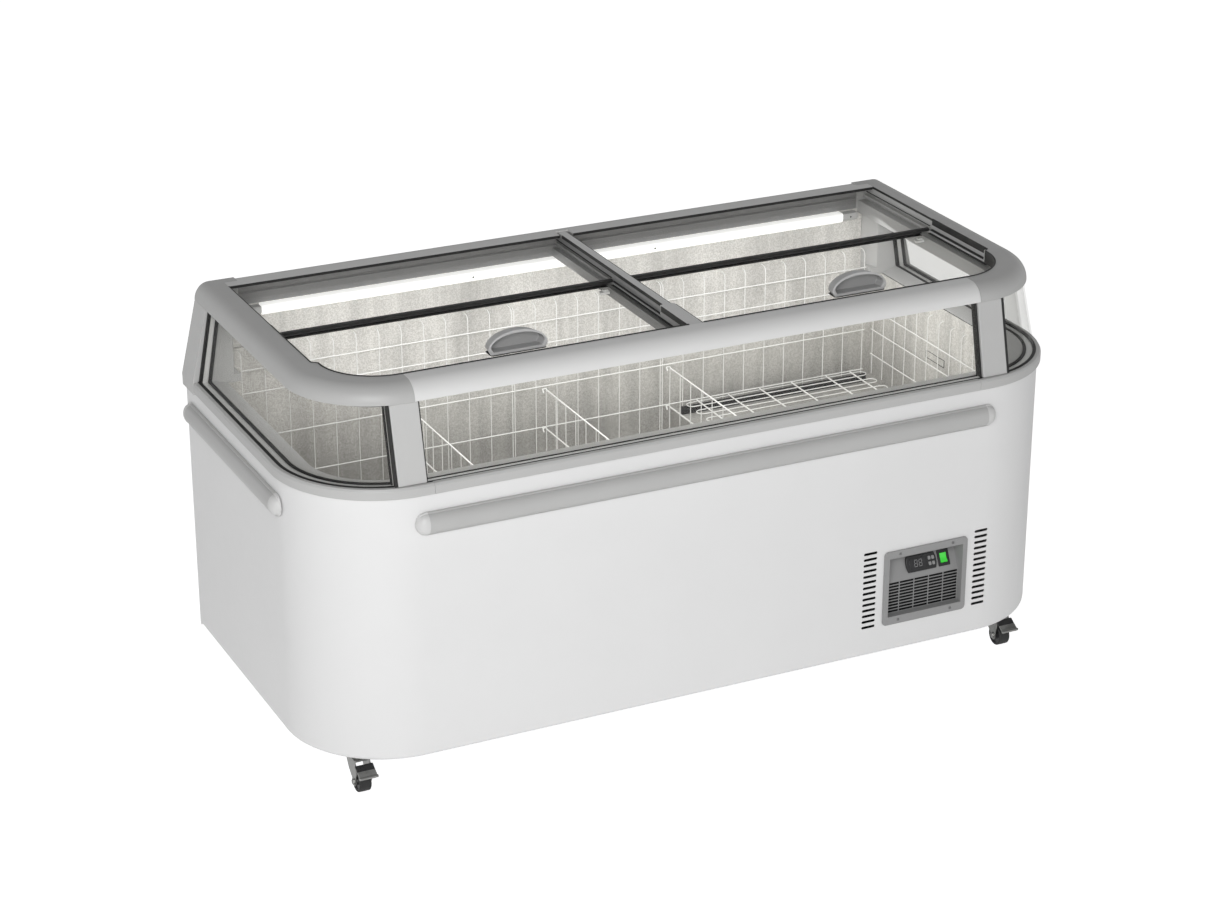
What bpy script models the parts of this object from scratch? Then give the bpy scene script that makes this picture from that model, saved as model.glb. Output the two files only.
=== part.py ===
"""Glass-topped chest freezer on casters, of the kind that stands as an island in a supermarket.

Metres, +Z up, +X to the right, +Y to the back. The origin is on the floor, under the middle of the
whole object. Lids slide along Y, casters swivel about Z and roll about X, the fan turns about Y.
"""

from math import asin, cos, pi, sin

import bmesh
import bpy
from mathutils import Matrix, Vector

GAP = 0.0004
SHARP_ANGLE = pi / 6
SIDES = (("left", -1), ("right", 1))

# Cabinet
HALF_WIDTH = 0.925
FRONT = -0.400
BACK = 0.422
CORNER_RADIUS = 0.235
ARC_STEPS = 8
SHELL_BOTTOM = 0.095
SHELL_TOP = 0.707
SHEET = 0.0015
TUCK_RADIUS = 0.013
BACK_SHEET = 0.0015
BASE_PAN_LOW = 0.0969
BASE_PAN_SHEET = 0.002
INTAKE = (0.40, FRONT + 0.10, 0.70, FRONT + 0.16)
LOUVRE_X = (0.42, 0.72)
LOUVRE_ROWS = 6
LOUVRE_FIRST_Z = 0.150
LOUVRE_PITCH = 0.030
LOUVRE_HEIGHT = 0.010

# Well inside the cabinet
WELL_HALF_WIDTH = 0.850
WELL_FRONT = FRONT + 0.075
WELL_BACK = FRONT + 0.790
WELL_FLOOR = 0.165
STEP_X = 0.292
STEP_TOP = 0.435
LINER = 0.0015
LINER_TOP = 0.7165
FOAM_TOP = 0.7060
MACHINE_ROOM_X = STEP_X + 0.045
MACHINE_ROOM_TOP = 0.375
# How far cutters reach past what they cut
WELL_MARGIN = 0.100
ABOVE_WELL = 0.800

# Canopy: the glass leans in from the sill to the top frame
SILL_TOP = 0.731
SILL_SEAM_X = 0.662
REAR_POST_FRONT = FRONT + 0.746
FRAME_LOW = 0.898
FRAME_TOP = 0.937
FRAME_SEAM_X = 0.682
REAR_SEAM_X = 0.800
REAR_RAIL_FRONT = FRONT + 0.795
REAR_RAIL_LOW = 0.878
REAR_CORNER_X = 0.860
REAR_POST_INNER_X = 0.8190
FRAME_WEB_CLEAR_X = 0.8555
POST_INNER_X = 0.675
POST_OUTER_X = 0.738
PANE = 0.004
LAMP_HALF = 0.752
LAMP_HOLDER_END = 0.795
LAMP_Y = (FRONT + 0.7735, FRONT + 0.797)
LAMP_Z = (0.8530, 0.8765)
LAMP_HOLDER_INSET = 0.002

# Lids: the front pair runs under the rear pair
LOW_GLASS = 0.9015
HIGH_GLASS = 0.9140
UPPER_TRACK = 0.9125
UPPER_TRACK_FRONT = FRONT + 0.250
LID_MEETING = FRONT + 0.490
LID_INNER_X = 0.013
LOW_LID_OUTER_X = 0.826
HIGH_LID_OUTER_X = 0.829
LID_MIDDLE_X = (LID_INNER_X + LOW_LID_OUTER_X) / 2
LID_CORNER = 0.134
HANDLE_OFFSET = 0.038
HANDLE_SIZE = (0.138, 0.031, 0.049)
HANDLE_FRONT = FRONT + 0.192
HANDLE_WALL = 0.005
HANDLE_FOOT = 0.010
HANDLE_FOOT_TAPER = 0.006

# Bumpers
BUMPER_HEIGHT = 0.052
BUMPER_DEPTH = 0.0216
BUMPER_Z = 0.642
BUMPER_CAP = 0.026
BUMPER_FACETS = 6
FRONT_BUMPER_HALF = 0.706
SIDE_BUMPER_Y = (FRONT + 0.200, FRONT + 0.808)

# Controls and vents
PANEL_X = 0.541
PANEL_Z = 0.257
PANEL_SIZE = (0.220, 0.184)
PANEL_FRAME = 0.020
PANEL_CORNER = 0.010
PANEL_LAP = 0.009
TRAY_WALL = 0.003
RECESS_BORDERS = (0.014, 0.012)
PANEL_LIP = 0.004
GRILLE_DEPTH = 0.014
CONSOLE_DEPTH = 0.046
CONSOLE_LOW = 0.262
CONSOLE_HIGH = 0.331
CONTROLLER_X = 0.545
CONTROLLER_SIZE = (0.080, 0.038)
ROCKER_X = 0.606
ROCKER_SIZE = (0.020, 0.026)
ROCKER_TILT = pi / 30
SEAT_GAP = 0.0009
SEAT_DEPTH = (-0.010, 0.012)
GRILLE_BAR = 0.0028
GRILLE_COLUMNS = 5
GRILLE_ROWS = 10
SLOT_ROWS = 14
SLOT_PITCH = 0.01415
SLOT_FIRST_Z = 0.170
SLOT_SIZE = (0.034, 0.0052)
SLOT_COLUMNS_X = (0.3955, 0.6885)

# Casters
CASTER_X = 0.812
CASTER_AXLE_Y = (FRONT + 0.085, BACK - 0.110)
CASTER_TRAIL = 0.024
WHEEL_RADIUS = 0.025
WHEEL_WIDTH = 0.028
WHEEL_STEPS = 24
AXLE_RADIUS = 0.004

# Wire goods
WIRE = 0.004
GUARD_REAR_TOP = 0.777
GUARD_SIDE_TOP = 0.690
GUARD_LOW = 0.190
GUARD_REAR_Y = FRONT + 0.762
GUARD_SIDE_X = 0.832
GUARD_SIDE_Y = (FRONT + 0.240, FRONT + 0.752)
RACK_LOW = (0.290, FRONT + 0.150)
RACK_HIGH = (0.820, FRONT + 0.758)
RACK_Z = 0.450
DIVIDERS_X = (-0.400, -0.062, 0.268)
DIVIDER_Y = (FRONT + 0.090, FRONT + 0.756)
DIVIDER_Z = (0.190, 0.560)

# Refrigeration
CONDENSER_X = (0.400, 0.690)
CONDENSER_Y = (FRONT + 0.075, FRONT + 0.130)
CONDENSER_TOP = 0.350
SHROUD_BACK = FRONT + 0.168
THROAT_RADIUS = 0.096
FAN_HUB = (PANEL_X, FRONT + 0.150, 0.235)
FAN_BLADES = 4
COMPRESSOR_X = 0.62
COMPRESSOR_Y = FRONT + 0.50
COMPRESSOR_RADIUS = 0.078
COMPRESSOR_FOOT = (0.085, 0.100)

PAINT_WHITE = ("white_paint", (0.74, 0.74, 0.74), 0.35, 0.0)
PLASTIC_GREY = ("grey_plastic", (0.30, 0.30, 0.30), 0.45, 0.0)
RAIL_GREY = ("grey_rail", (0.45, 0.45, 0.45), 0.35, 0.0)
BUMPER_GREY = ("bumper_grey", (0.36, 0.36, 0.36), 0.4, 0.0)
STUCCO = ("stucco_aluminium", (0.52, 0.51, 0.48), 0.35, 0.8)
GALVANISED = ("galvanised_steel", (0.50, 0.50, 0.50), 0.4, 0.9)
FOAM = ("foam", (0.70, 0.60, 0.35), 0.9, 0.0)
GLASS = ("clear_glass", (0.80, 0.86, 0.84), 0.05, 0.0)
RUBBER = ("black_rubber", (0.015, 0.015, 0.015), 0.6, 0.0)
LAMP_WHITE = ("lamp_white", (0.90, 0.90, 0.90), 0.3, 0.0)
DARK_PLASTIC = ("dark_plastic", (0.03, 0.03, 0.03), 0.2, 0.0)
SWITCH_GREEN = ("switch_green", (0.05, 0.55, 0.05), 0.3, 0.0)
ZINC = ("zinc", (0.55, 0.55, 0.54), 0.3, 0.95)
WIRE_WHITE = ("white_wire", (0.80, 0.80, 0.78), 0.35, 0.0)
COMPRESSOR_BLACK = ("compressor_black", (0.02, 0.02, 0.02), 0.4, 0.0)
FIN_ALUMINIUM = ("fin_aluminium", (0.60, 0.60, 0.60), 0.35, 0.9)

# ---------------------------------------------------------------- helpers


def clear_scene():
    for old in list(bpy.data.objects):
        bpy.data.objects.remove(old, do_unlink=True)


def new_collection(name):
    collection = bpy.data.collections.new(name)
    bpy.context.scene.collection.children.link(collection)
    return collection


def material_of(finish):
    name, colour, roughness, metallic = finish
    material = bpy.data.materials.get(name)
    if material is None:
        material = bpy.data.materials.new(name)
        material.use_nodes = True
        shader = material.node_tree.nodes["Principled BSDF"]
        shader.inputs["Base Color"].default_value = (*colour, 1)
        shader.inputs["Roughness"].default_value = roughness
        shader.inputs["Metallic"].default_value = metallic
    return material


def add_mesh(name, mesh, finish, origin=(0, 0, 0)):
    """Links a mesh in world coordinates as an object whose origin is at the given point."""
    mesh.transform(Matrix.Translation(-Vector(origin)))
    mesh.shade_smooth()
    mesh.set_sharp_from_angle(angle=SHARP_ANGLE)
    if finish is not None:
        mesh.materials.append(material_of(finish))
    thing = bpy.data.objects.new(name, mesh)
    thing.location = origin
    if finish is None:
        thing.hide_render = True
        thing.display_type = "WIRE"
        CUTTERS.objects.link(thing)
    else:
        PARTS.objects.link(thing)
    return thing


def mesh_from(name, work):
    bmesh.ops.recalc_face_normals(work, faces=work.faces)
    mesh = bpy.data.meshes.new(name)
    work.to_mesh(mesh)
    work.free()
    return mesh


def box(name, low, high, finish=None, origin=(0, 0, 0)):
    low, high = Vector(low), Vector(high)
    work = bmesh.new()
    bmesh.ops.create_cube(work, size=1)
    bmesh.ops.scale(work, vec=high - low, verts=work.verts)
    bmesh.ops.translate(work, vec=(low + high) / 2, verts=work.verts)
    return add_mesh(name, mesh_from(name, work), finish, origin)


def cylinder(name, centre, axis, radius, length, finish=None, sides=16, origin=(0, 0, 0)):
    work = bmesh.new()
    place = Matrix.Translation(centre) @ Vector(axis).to_track_quat("Z", "Y").to_matrix().to_4x4()
    bmesh.ops.create_cone(
        work, cap_ends=True, segments=sides, radius1=radius, radius2=radius, depth=length, matrix=place
    )
    return add_mesh(name, mesh_from(name, work), finish, origin)


def lofted(name, rings, finish=None, origin=(0, 0, 0)):
    """A skin through rings of equal point counts, closed round each section and capped at both ends.

    rings[i][j] is point j along the run of section corner i.
    """
    work = bmesh.new()
    rows = [[work.verts.new(point) for point in ring] for ring in rings]
    corners = len(rows)
    steps = len(rows[0])
    for i in range(corners):
        here, there = rows[i], rows[(i + 1) % corners]
        for j in range(steps - 1):
            work.faces.new((here[j], here[j + 1], there[j + 1], there[j]))
    for j in (0, steps - 1):
        work.faces.new([row[j] for row in rows])
    return add_mesh(name, mesh_from(name, work), finish, origin)


def flat_plate(name, outlines, low, high, finish=None, plane="XY", origin=(0, 0, 0)):
    """Closed 2D outlines, filled with their holes left open, and extruded from low to high.

    The plane says which world axes the outline's two numbers are.
    """
    curve = bpy.data.curves.new(name, "CURVE")
    curve.dimensions = "2D"
    curve.fill_mode = "BOTH"
    curve.extrude = (high - low) / 2
    for outline in outlines:
        spline = curve.splines.new("POLY")
        spline.points.add(len(outline) - 1)
        for point, (u, v) in zip(spline.points, outline):
            point.co = (u, v, 0, 1)
        spline.use_cyclic_u = True
    guide = bpy.data.objects.new(name + "_outline", curve)
    CUTTERS.objects.link(guide)
    bpy.context.view_layer.update()
    graph = bpy.context.evaluated_depsgraph_get()
    mesh = bpy.data.meshes.new_from_object(guide.evaluated_get(graph))
    bpy.data.objects.remove(guide, do_unlink=True)
    mesh.materials.clear()
    work = bmesh.new()
    work.from_mesh(mesh)
    bmesh.ops.remove_doubles(work, verts=work.verts, dist=0.00001)
    middle = (low + high) / 2
    columns = {
        "XY": ((1, 0, 0, 0), (0, 1, 0, 0), (0, 0, 1, middle)),
        "XZ": ((1, 0, 0, 0), (0, 0, 1, middle), (0, 1, 0, 0)),
        "YZ": ((0, 0, 1, middle), (1, 0, 0, 0), (0, 1, 0, 0)),
    }[plane]
    bmesh.ops.transform(work, matrix=Matrix((*columns, (0, 0, 0, 1))), verts=work.verts)
    return add_mesh(name, mesh_from(name, work), finish, origin)


def combine(thing, other, operation):
    modifier = thing.modifiers.new(operation.lower(), "BOOLEAN")
    modifier.operation = operation
    modifier.object = other
    return thing


def cut(thing, *cutters):
    for cutter in cutters:
        combine(thing, cutter, "DIFFERENCE")
    return thing


def join(thing, *others):
    for other in others:
        combine(thing, other, "UNION")
    return thing


def rectangle(u_low, v_low, u_high, v_high):
    return [(u_low, v_low), (u_high, v_low), (u_high, v_high), (u_low, v_high)]


def rounded_rectangle(u_low, v_low, u_high, v_high, radius, steps=3):
    outline = []
    corners = (
        (u_high - radius, v_high - radius, 0.0),
        (u_low + radius, v_high - radius, pi / 2),
        (u_low + radius, v_low + radius, pi),
        (u_high - radius, v_low + radius, 1.5 * pi),
    )
    for u, v, start in corners:
        for i in range(steps + 1):
            angle = start + pi / 2 * i / steps
            outline.append((u + radius * cos(angle), v + radius * sin(angle)))
    return outline


def plan_line(side_inset, front_inset, start_x, end_y):
    """Right half of a plan line that follows the cabinet: across the front, round the corner, to the back."""
    side = HALF_WIDTH - side_inset
    front = FRONT + front_inset
    radius = CORNER_RADIUS - (side_inset + front_inset) / 2
    centre_x, centre_y = side - radius, front + radius
    first = asin(max(0.0, start_x - centre_x) / radius)
    points = [(start_x, front)] if start_x < centre_x else []
    for i in range(ARC_STEPS + 1):
        angle = first + (pi / 2 - first) * i / ARC_STEPS
        points.append((centre_x + radius * sin(angle), centre_y - radius * cos(angle)))
    points.append((side, end_y))
    return points


def mirrored(points):
    return [(-x, y) for x, y in reversed(points)]


def half_sweep(name, profile, start_x, end_y, finish, left):
    """Sweeps a section of (side inset, front inset, z) corners from the front seam round to the side's end."""
    rings = []
    for side_inset, front_inset, z in profile:
        line = plan_line(side_inset, front_inset, start_x, end_y)
        line = mirrored(line) if left else line
        rings.append([(x, y, z) for x, y in line])
    return lofted(name, rings, finish)


def full_sweep(name, profile, end_y, finish):
    """The same section, swept from the back round the left corner, the front and the right corner."""
    rings = []
    for side_inset, front_inset, z in profile:
        right = plan_line(side_inset, front_inset, 0.0, end_y)
        rings.append([(x, y, z) for x, y in mirrored(right)[:-1] + right[1:]])
    return lofted(name, rings, finish)


def front_run(name, profile, half_length, finish):
    """The same section again, straight across the front."""
    rings = [[(x, FRONT + inset, z) for x in (-half_length, half_length)] for _, inset, z in profile]
    return lofted(name, rings, finish)


def plan_outline(side_inset, front_inset, end_y):
    """Closed plan of the cabinet, or of a smaller one inside it, square at the back."""
    line = plan_line(side_inset, front_inset, 0.0, end_y)
    return mirrored(line)[:-1] + line[1:]


def plan_solid(name, insets, z_low, z_high, end_y, finish=None):
    outline = plan_outline(*insets, end_y)
    return lofted(name, [[(x, y, z) for z in (z_low, z_high)] for x, y in outline], finish)


# ---------------------------------------------------------------- cabinet


def make_outer_shell():
    tuck = [
        (TUCK_RADIUS * (1 - cos(angle)), SHELL_BOTTOM + TUCK_RADIUS * (1 - sin(angle)))
        for angle in (pi / 6, pi / 3)
    ]
    outer = [(0.0, SHELL_TOP), (0.0, SHELL_BOTTOM + TUCK_RADIUS)] + tuck
    outer += [(TUCK_RADIUS, SHELL_BOTTOM), (0.032, SHELL_BOTTOM)]
    inner = [(0.032, SHELL_BOTTOM + SHEET), (TUCK_RADIUS, SHELL_BOTTOM + SHEET)]
    inner += [(SHEET, SHELL_BOTTOM + TUCK_RADIUS), (SHEET, SHELL_TOP)]
    profile = [(inset, inset, z) for inset, z in outer + inner]
    shell = full_sweep("outer_shell", profile, BACK - BACK_SHEET - GAP, PAINT_WHITE)
    half_w, half_h = PANEL_SIZE[0] / 2 - PANEL_LAP, PANEL_SIZE[1] / 2 - PANEL_LAP
    window = box(
        "cut_panel_window",
        (PANEL_X - half_w, FRONT - 0.01, PANEL_Z - half_h),
        (PANEL_X + half_w, FRONT + 0.01, PANEL_Z + half_h),
    )
    slots = []
    for column, x in enumerate(SLOT_COLUMNS_X):
        outlines = []
        for row in range(SLOT_ROWS):
            z = SLOT_FIRST_Z + row * SLOT_PITCH
            half_l, half_t = SLOT_SIZE[0] / 2, SLOT_SIZE[1] / 2
            ends = (x - half_l, z - half_t, x + half_l, z + half_t)
            outlines.append(rounded_rectangle(*ends, half_t * 0.98, steps=2))
        slots.append(flat_plate(f"cut_slots_{column}", outlines, FRONT - 0.01, FRONT + 0.01, plane="XZ"))
    return cut(shell, window, *slots)


def make_back_panel():
    louvres = []
    for row in range(LOUVRE_ROWS):
        z = LOUVRE_FIRST_Z + row * LOUVRE_PITCH
        ends = (LOUVRE_X[0], z, LOUVRE_X[1], z + LOUVRE_HEIGHT)
        louvres.append(rounded_rectangle(*ends, LOUVRE_HEIGHT * 0.49, steps=2))
    outline = rectangle(-HALF_WIDTH + GAP, SHELL_BOTTOM, HALF_WIDTH - GAP, SHELL_TOP)
    return flat_plate(
        "back_panel", [outline] + louvres, BACK - BACK_SHEET, BACK, PAINT_WHITE, plane="XZ"
    )


def make_base_pan():
    inset = TUCK_RADIUS + GAP
    outline = plan_outline(inset, inset, BACK - BACK_SHEET - 2 * GAP)
    intake = rounded_rectangle(*INTAKE, 0.01, steps=2)
    return flat_plate(
        "base_pan", [outline, intake], BASE_PAN_LOW, BASE_PAN_LOW + BASE_PAN_SHEET, GALVANISED
    )


def well_solid(name, grow, top, finish=None):
    """The well's shape, larger by grow all round: a deep left part and a raised step at the right."""
    insets = (HALF_WIDTH - WELL_HALF_WIDTH - grow, WELL_FRONT - FRONT - grow)
    well = plan_solid(name, insets, WELL_FLOOR - grow, top, WELL_BACK + grow, finish)
    below_step = box(
        name + "_below_step",
        (STEP_X + grow, WELL_FRONT - WELL_MARGIN, WELL_FLOOR - WELL_MARGIN),
        (HALF_WIDTH + WELL_MARGIN, WELL_BACK + WELL_MARGIN, STEP_TOP - grow),
    )
    return cut(well, below_step)


def make_liner_tub():
    """A stepped tub of embossed sheet, open at the top."""
    tub = well_solid("liner_tub", LINER, LINER_TOP, STUCCO)
    return cut(tub, well_solid("cut_liner_hollow", 0.0, ABOVE_WELL))


def make_foam():
    """Insulation foamed in place between the shell and the liner, stepped over the machine room."""
    inset = SHEET + GAP
    low = BASE_PAN_LOW + BASE_PAN_SHEET + GAP
    foam = plan_solid("foam_insulation", (inset, inset), low, FOAM_TOP, BACK - BACK_SHEET - 2 * GAP, FOAM)
    machine_room = box(
        "cut_machine_room",
        (MACHINE_ROOM_X, FRONT - WELL_MARGIN, 0.0),
        (HALF_WIDTH + WELL_MARGIN, BACK + WELL_MARGIN, MACHINE_ROOM_TOP),
    )
    return cut(foam, machine_room, tuck_room(), well_solid("cut_foam_well", LINER + GAP, ABOVE_WELL))


def tuck_room():
    """Keeps the foam clear of the shell's tucked-in bottom edge."""
    low, high = SHELL_BOTTOM - 0.045, SHELL_BOTTOM + TUCK_RADIUS + 0.002
    profile = [(-0.01, low), (TUCK_RADIUS, low), (TUCK_RADIUS, high), (-0.01, high)]
    return full_sweep("cut_tuck_room", [(inset, inset, z) for inset, z in profile], BACK + 0.01, None)


def make_rear_wall_panel():
    """Insulated wall behind the glass canopy, between the rear posts."""
    return box(
        "rear_wall_panel",
        (-REAR_POST_INNER_X + GAP, LAMP_Y[1] + GAP, SHELL_TOP + GAP),
        (REAR_POST_INNER_X - GAP, BACK, REAR_RAIL_LOW - GAP),
        STUCCO,
    )


# ---------------------------------------------------------------- canopy frame

# Section corners as (side inset, front inset, z).
SILL_PROFILE = [
    (-0.008, -0.008, SHELL_TOP + GAP),
    (-0.008, -0.008, 0.726),
    (-0.0045, -0.0045, SILL_TOP),
    (0.004, 0.004, SILL_TOP),
    (0.004, 0.004, 0.724),
    (0.038, 0.038, 0.724),
    (0.038, 0.038, SILL_TOP - 0.002),
    (0.073, 0.073, 0.7185),
    (0.073, 0.073, 0.7172),
    (0.046, 0.046, 0.7172),
    (0.046, 0.046, SHELL_TOP + GAP),
]


def top_frame_profile():
    """A bulging outer face, a flat top, the lower lids' slot and a web below it."""
    profile = []
    for i in range(5):
        angle = pi / 2 * i / 4
        profile.append((
            0.031 + 0.034 * (1 - cos(angle)),
            0.040 + 0.041 * (1 - cos(angle)),
            FRAME_LOW + (FRAME_TOP - FRAME_LOW) * sin(angle),
        ))
    profile += [
        (0.106, 0.105, FRAME_TOP),
        (0.106, 0.105, 0.908),
        (0.097, 0.096, 0.908),
        (0.097, 0.096, 0.899),
        (0.121, 0.130, 0.899),
        (0.121, 0.130, 0.868),
        (0.101, 0.110, 0.868),
        (0.101, 0.110, 0.893),
        (0.070, 0.079, 0.893),
        (0.070, 0.079, FRAME_LOW),
    ]
    return profile


def make_sill():
    for side, sign in SIDES:
        half_sweep(
            f"sill_{side}", SILL_PROFILE, SILL_SEAM_X + GAP / 2, REAR_POST_FRONT - GAP, PLASTIC_GREY, sign < 0
        )
    front_run("sill_front", SILL_PROFILE, SILL_SEAM_X - GAP / 2, RAIL_GREY)


def side_block(name, sign, x_range, y_range, z_range):
    """A block given for the right-hand side, and mirrored when the sign is negative."""
    ends = sorted(sign * x for x in x_range)
    return box(name, (ends[0], y_range[0], z_range[0]), (ends[1], y_range[1], z_range[1]))


def make_top_frame():
    profile = top_frame_profile()
    rear = (REAR_RAIL_FRONT, BACK)
    for side, sign in SIDES:
        frame = half_sweep(
            f"top_frame_{side}", profile, FRAME_SEAM_X + GAP / 2, BACK, PLASTIC_GREY, sign < 0
        )
        web_x = (0.75, FRAME_WEB_CLEAR_X)
        cut(frame, side_block(f"cut_web_end_{side}", sign, web_x, (rear[0], BACK + 0.01), (0.86, REAR_RAIL_LOW)))
        corner_x = (REAR_SEAM_X + GAP / 2, REAR_CORNER_X)
        join(frame, side_block(f"join_rear_corner_{side}", sign, corner_x, rear, (REAR_RAIL_LOW, FRAME_TOP)))
        track_x = (0.780, HIGH_LID_OUTER_X + 0.002)
        track_y = (UPPER_TRACK_FRONT, REAR_RAIL_FRONT)
        cut(frame, side_block(f"cut_track_{side}", sign, track_x, track_y, (UPPER_TRACK, FRAME_TOP + 0.01)))
    front_run("top_rail_front", profile, FRAME_SEAM_X - GAP / 2, RAIL_GREY)
    section = [
        (REAR_RAIL_FRONT, REAR_RAIL_LOW),
        (BACK, REAR_RAIL_LOW),
        (BACK, FRAME_TOP - 0.004),
        (BACK - 0.004, FRAME_TOP),
        (REAR_RAIL_FRONT, FRAME_TOP),
        (REAR_RAIL_FRONT, 0.9105),
        (REAR_RAIL_FRONT + 0.003, 0.9085),
        (REAR_RAIL_FRONT + 0.003, 0.9045),
        (REAR_RAIL_FRONT, 0.9025),
    ]
    half = REAR_SEAM_X - GAP / 2
    flat_plate("top_rail_rear", [section], -half, half, RAIL_GREY, plane="YZ")


def make_centre_bar():
    """An inverted T: a ridge with a ledge on each side for the rear lids and a lower one for the front lids."""
    right = [
        (0.017, 0.935),
        (0.017, 0.908),
        (0.011, 0.908),
        (0.011, 0.899),
        (0.024, 0.899),
        (0.024, REAR_RAIL_LOW),
    ]
    section = right + [(-x, z) for x, z in reversed(right)]
    ends = (FRONT + 0.1305, REAR_RAIL_FRONT - GAP)
    bar = lofted("centre_bar", [[(x, y, z) for y in ends] for x, z in section], RAIL_GREY)
    nose = box("join_bar_nose", (-0.0168, FRONT + 0.1055, 0.9082), (0.0168, FRONT + 0.140, 0.9348))
    join(bar, nose)
    for name, low, high in (("left", -0.04, -0.009), ("right", 0.009, 0.04)):
        cut(bar, box(f"cut_bar_track_{name}", (low, UPPER_TRACK_FRONT, UPPER_TRACK), (high, BACK, 0.96)))


def make_posts():
    for side, sign in SIDES:
        low = [(POST_INNER_X, 0.002), (POST_OUTER_X, 0.0035), (POST_OUTER_X, 0.030), (POST_INNER_X, 0.030)]
        high = [(POST_INNER_X, 0.041), (POST_OUTER_X, 0.0445), (POST_OUTER_X, 0.069), (POST_INNER_X, 0.069)]
        rings = []
        for (x0, y0), (x1, y1) in zip(low, high):
            rings.append([(sign * x0, FRONT + y0, SILL_TOP + GAP), (sign * x1, FRONT + y1, FRAME_LOW - GAP)])
        lofted(f"post_front_{side}", rings, PLASTIC_GREY)
        make_rear_post(side, sign)


def make_rear_post(side, sign):
    """A corner post that leans in with the glass, laps over the sill's end and fits under the frame."""
    levels = ((0.7020, 0.9330), (0.7300, 0.9330), (FRAME_LOW - GAP, 0.8940))
    plan = ((False, REAR_POST_FRONT), (True, REAR_POST_FRONT), (True, BACK), (False, BACK))
    rings = []
    for outside, y in plan:
        rings.append([(sign * (outer_x if outside else REAR_POST_INNER_X), y, z) for z, outer_x in levels])
    before, behind = REAR_POST_FRONT - 0.01, BACK + 0.01
    under_corner = REAR_RAIL_FRONT - GAP
    inner, above = 0.75, 0.95
    blocks = {
        "shell": ((inner, HALF_WIDTH + GAP), (before, behind), (0.6, SHELL_TOP + GAP)),
        "liner": ((inner, WELL_HALF_WIDTH + 0.0025), (before, WELL_BACK + 0.0025), (0.6, LINER_TOP + GAP)),
        "web": ((inner, 0.8245), (before, REAR_RAIL_FRONT + GAP), (0.8676, above)),
        "slot": ((inner, FRAME_WEB_CLEAR_X), (before, under_corner), (0.8926, above)),
        "corner": ((inner, REAR_CORNER_X + GAP), (under_corner, behind), (REAR_RAIL_LOW - GAP, above)),
    }
    post = lofted(f"post_rear_{side}", rings, PLASTIC_GREY)
    return cut(post, *[side_block(f"cut_post_{side}_{name}", sign, *block) for name, block in blocks.items()])


def make_fixed_glass():
    """Curved end panes from post to post, and a flat pane across the front."""
    low, high = SILL_TOP - 0.006, FRAME_LOW - GAP
    end_profile = [
        (0.0065, 0.0065, low),
        (0.0380, 0.0480, high),
        (0.0380 + PANE, 0.0480 + PANE, high),
        (0.0065 + PANE, 0.0065 + PANE, low),
    ]
    for side, sign in SIDES:
        half_sweep(
            f"end_glass_{side}", end_profile, POST_OUTER_X + 0.0008, REAR_POST_FRONT - GAP, GLASS, sign < 0
        )
    front_profile = [
        (0, 0.0095, low),
        (0, 0.0485, high),
        (0, 0.0485 + PANE, high),
        (0, 0.0095 + PANE, low),
    ]
    front_run("front_glass", front_profile, POST_INNER_X - 0.0008, GLASS)


# ---------------------------------------------------------------- lids


def lid_glass_outline(sign, outer, front, rear, corner):
    """Plan of one pane, its outer front corner rounded to follow the frame."""
    points = [(LID_INNER_X, front)]
    if corner:
        for i in range(7):
            angle = pi / 2 * i / 6
            points.append((outer - corner * (1 - sin(angle)), front + corner * (1 - cos(angle))))
    else:
        points.append((outer, front))
    points += [(outer, rear), (LID_INNER_X, rear)]
    return [(sign * x, y) for x, y in points]


def lid_trim(name, sign, x_range, section, origin):
    ends = sorted(sign * x for x in x_range)
    return flat_plate(name, [section], ends[0], ends[1], RUBBER, "YZ", origin)


def u_section(y_closed, y_open, z_glass, lip):
    """A channel round a pane's edge: closed at one side, with a lip above and below the glass."""
    wall = 0.004 if y_open > y_closed else -0.004
    low, high = z_glass - GAP, z_glass + PANE + GAP
    return [
        (y_closed, low - lip),
        (y_open, low - lip),
        (y_open, low),
        (y_closed + wall, low),
        (y_closed + wall, high),
        (y_open, high),
        (y_open, high + lip),
        (y_closed, high + lip),
    ]


def make_lids():
    """Each lid's pieces share an origin on the middle of its meeting edge."""
    for side, sign in SIDES:
        make_rear_lid(side, sign, (sign * LID_MIDDLE_X, LID_MEETING, HIGH_GLASS))
        make_front_lid(side, sign, (sign * LID_MIDDLE_X, LID_MEETING, LOW_GLASS))


def make_rear_lid(side, sign, origin):
    pane = lid_glass_outline(sign, HIGH_LID_OUTER_X, LID_MEETING - 0.0055, REAR_RAIL_FRONT - 0.0015, 0)
    flat_plate(f"rear_lid_{side}_glass", [pane], HIGH_GLASS, HIGH_GLASS + PANE, GLASS, "XY", origin)
    section = u_section(LID_MEETING - 0.010, LID_MEETING + 0.008, HIGH_GLASS, 0.0026)
    lid_trim(f"rear_lid_{side}_trim", sign, (0.0185, 0.8160), section, origin)


def make_front_lid(side, sign, origin):
    pane = lid_glass_outline(sign, LOW_LID_OUTER_X, FRONT + 0.0985, LID_MEETING + 0.0075, LID_CORNER)
    flat_plate(f"front_lid_{side}_glass", [pane], LOW_GLASS, LOW_GLASS + PANE, GLASS, "XY", origin)
    section = u_section(LID_MEETING + 0.012, LID_MEETING - 0.006, LOW_GLASS, 0.0025)
    lid_trim(f"front_lid_{side}_trim", sign, (0.0255, 0.8030), section, origin)
    make_handle(side, sign, origin)


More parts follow.
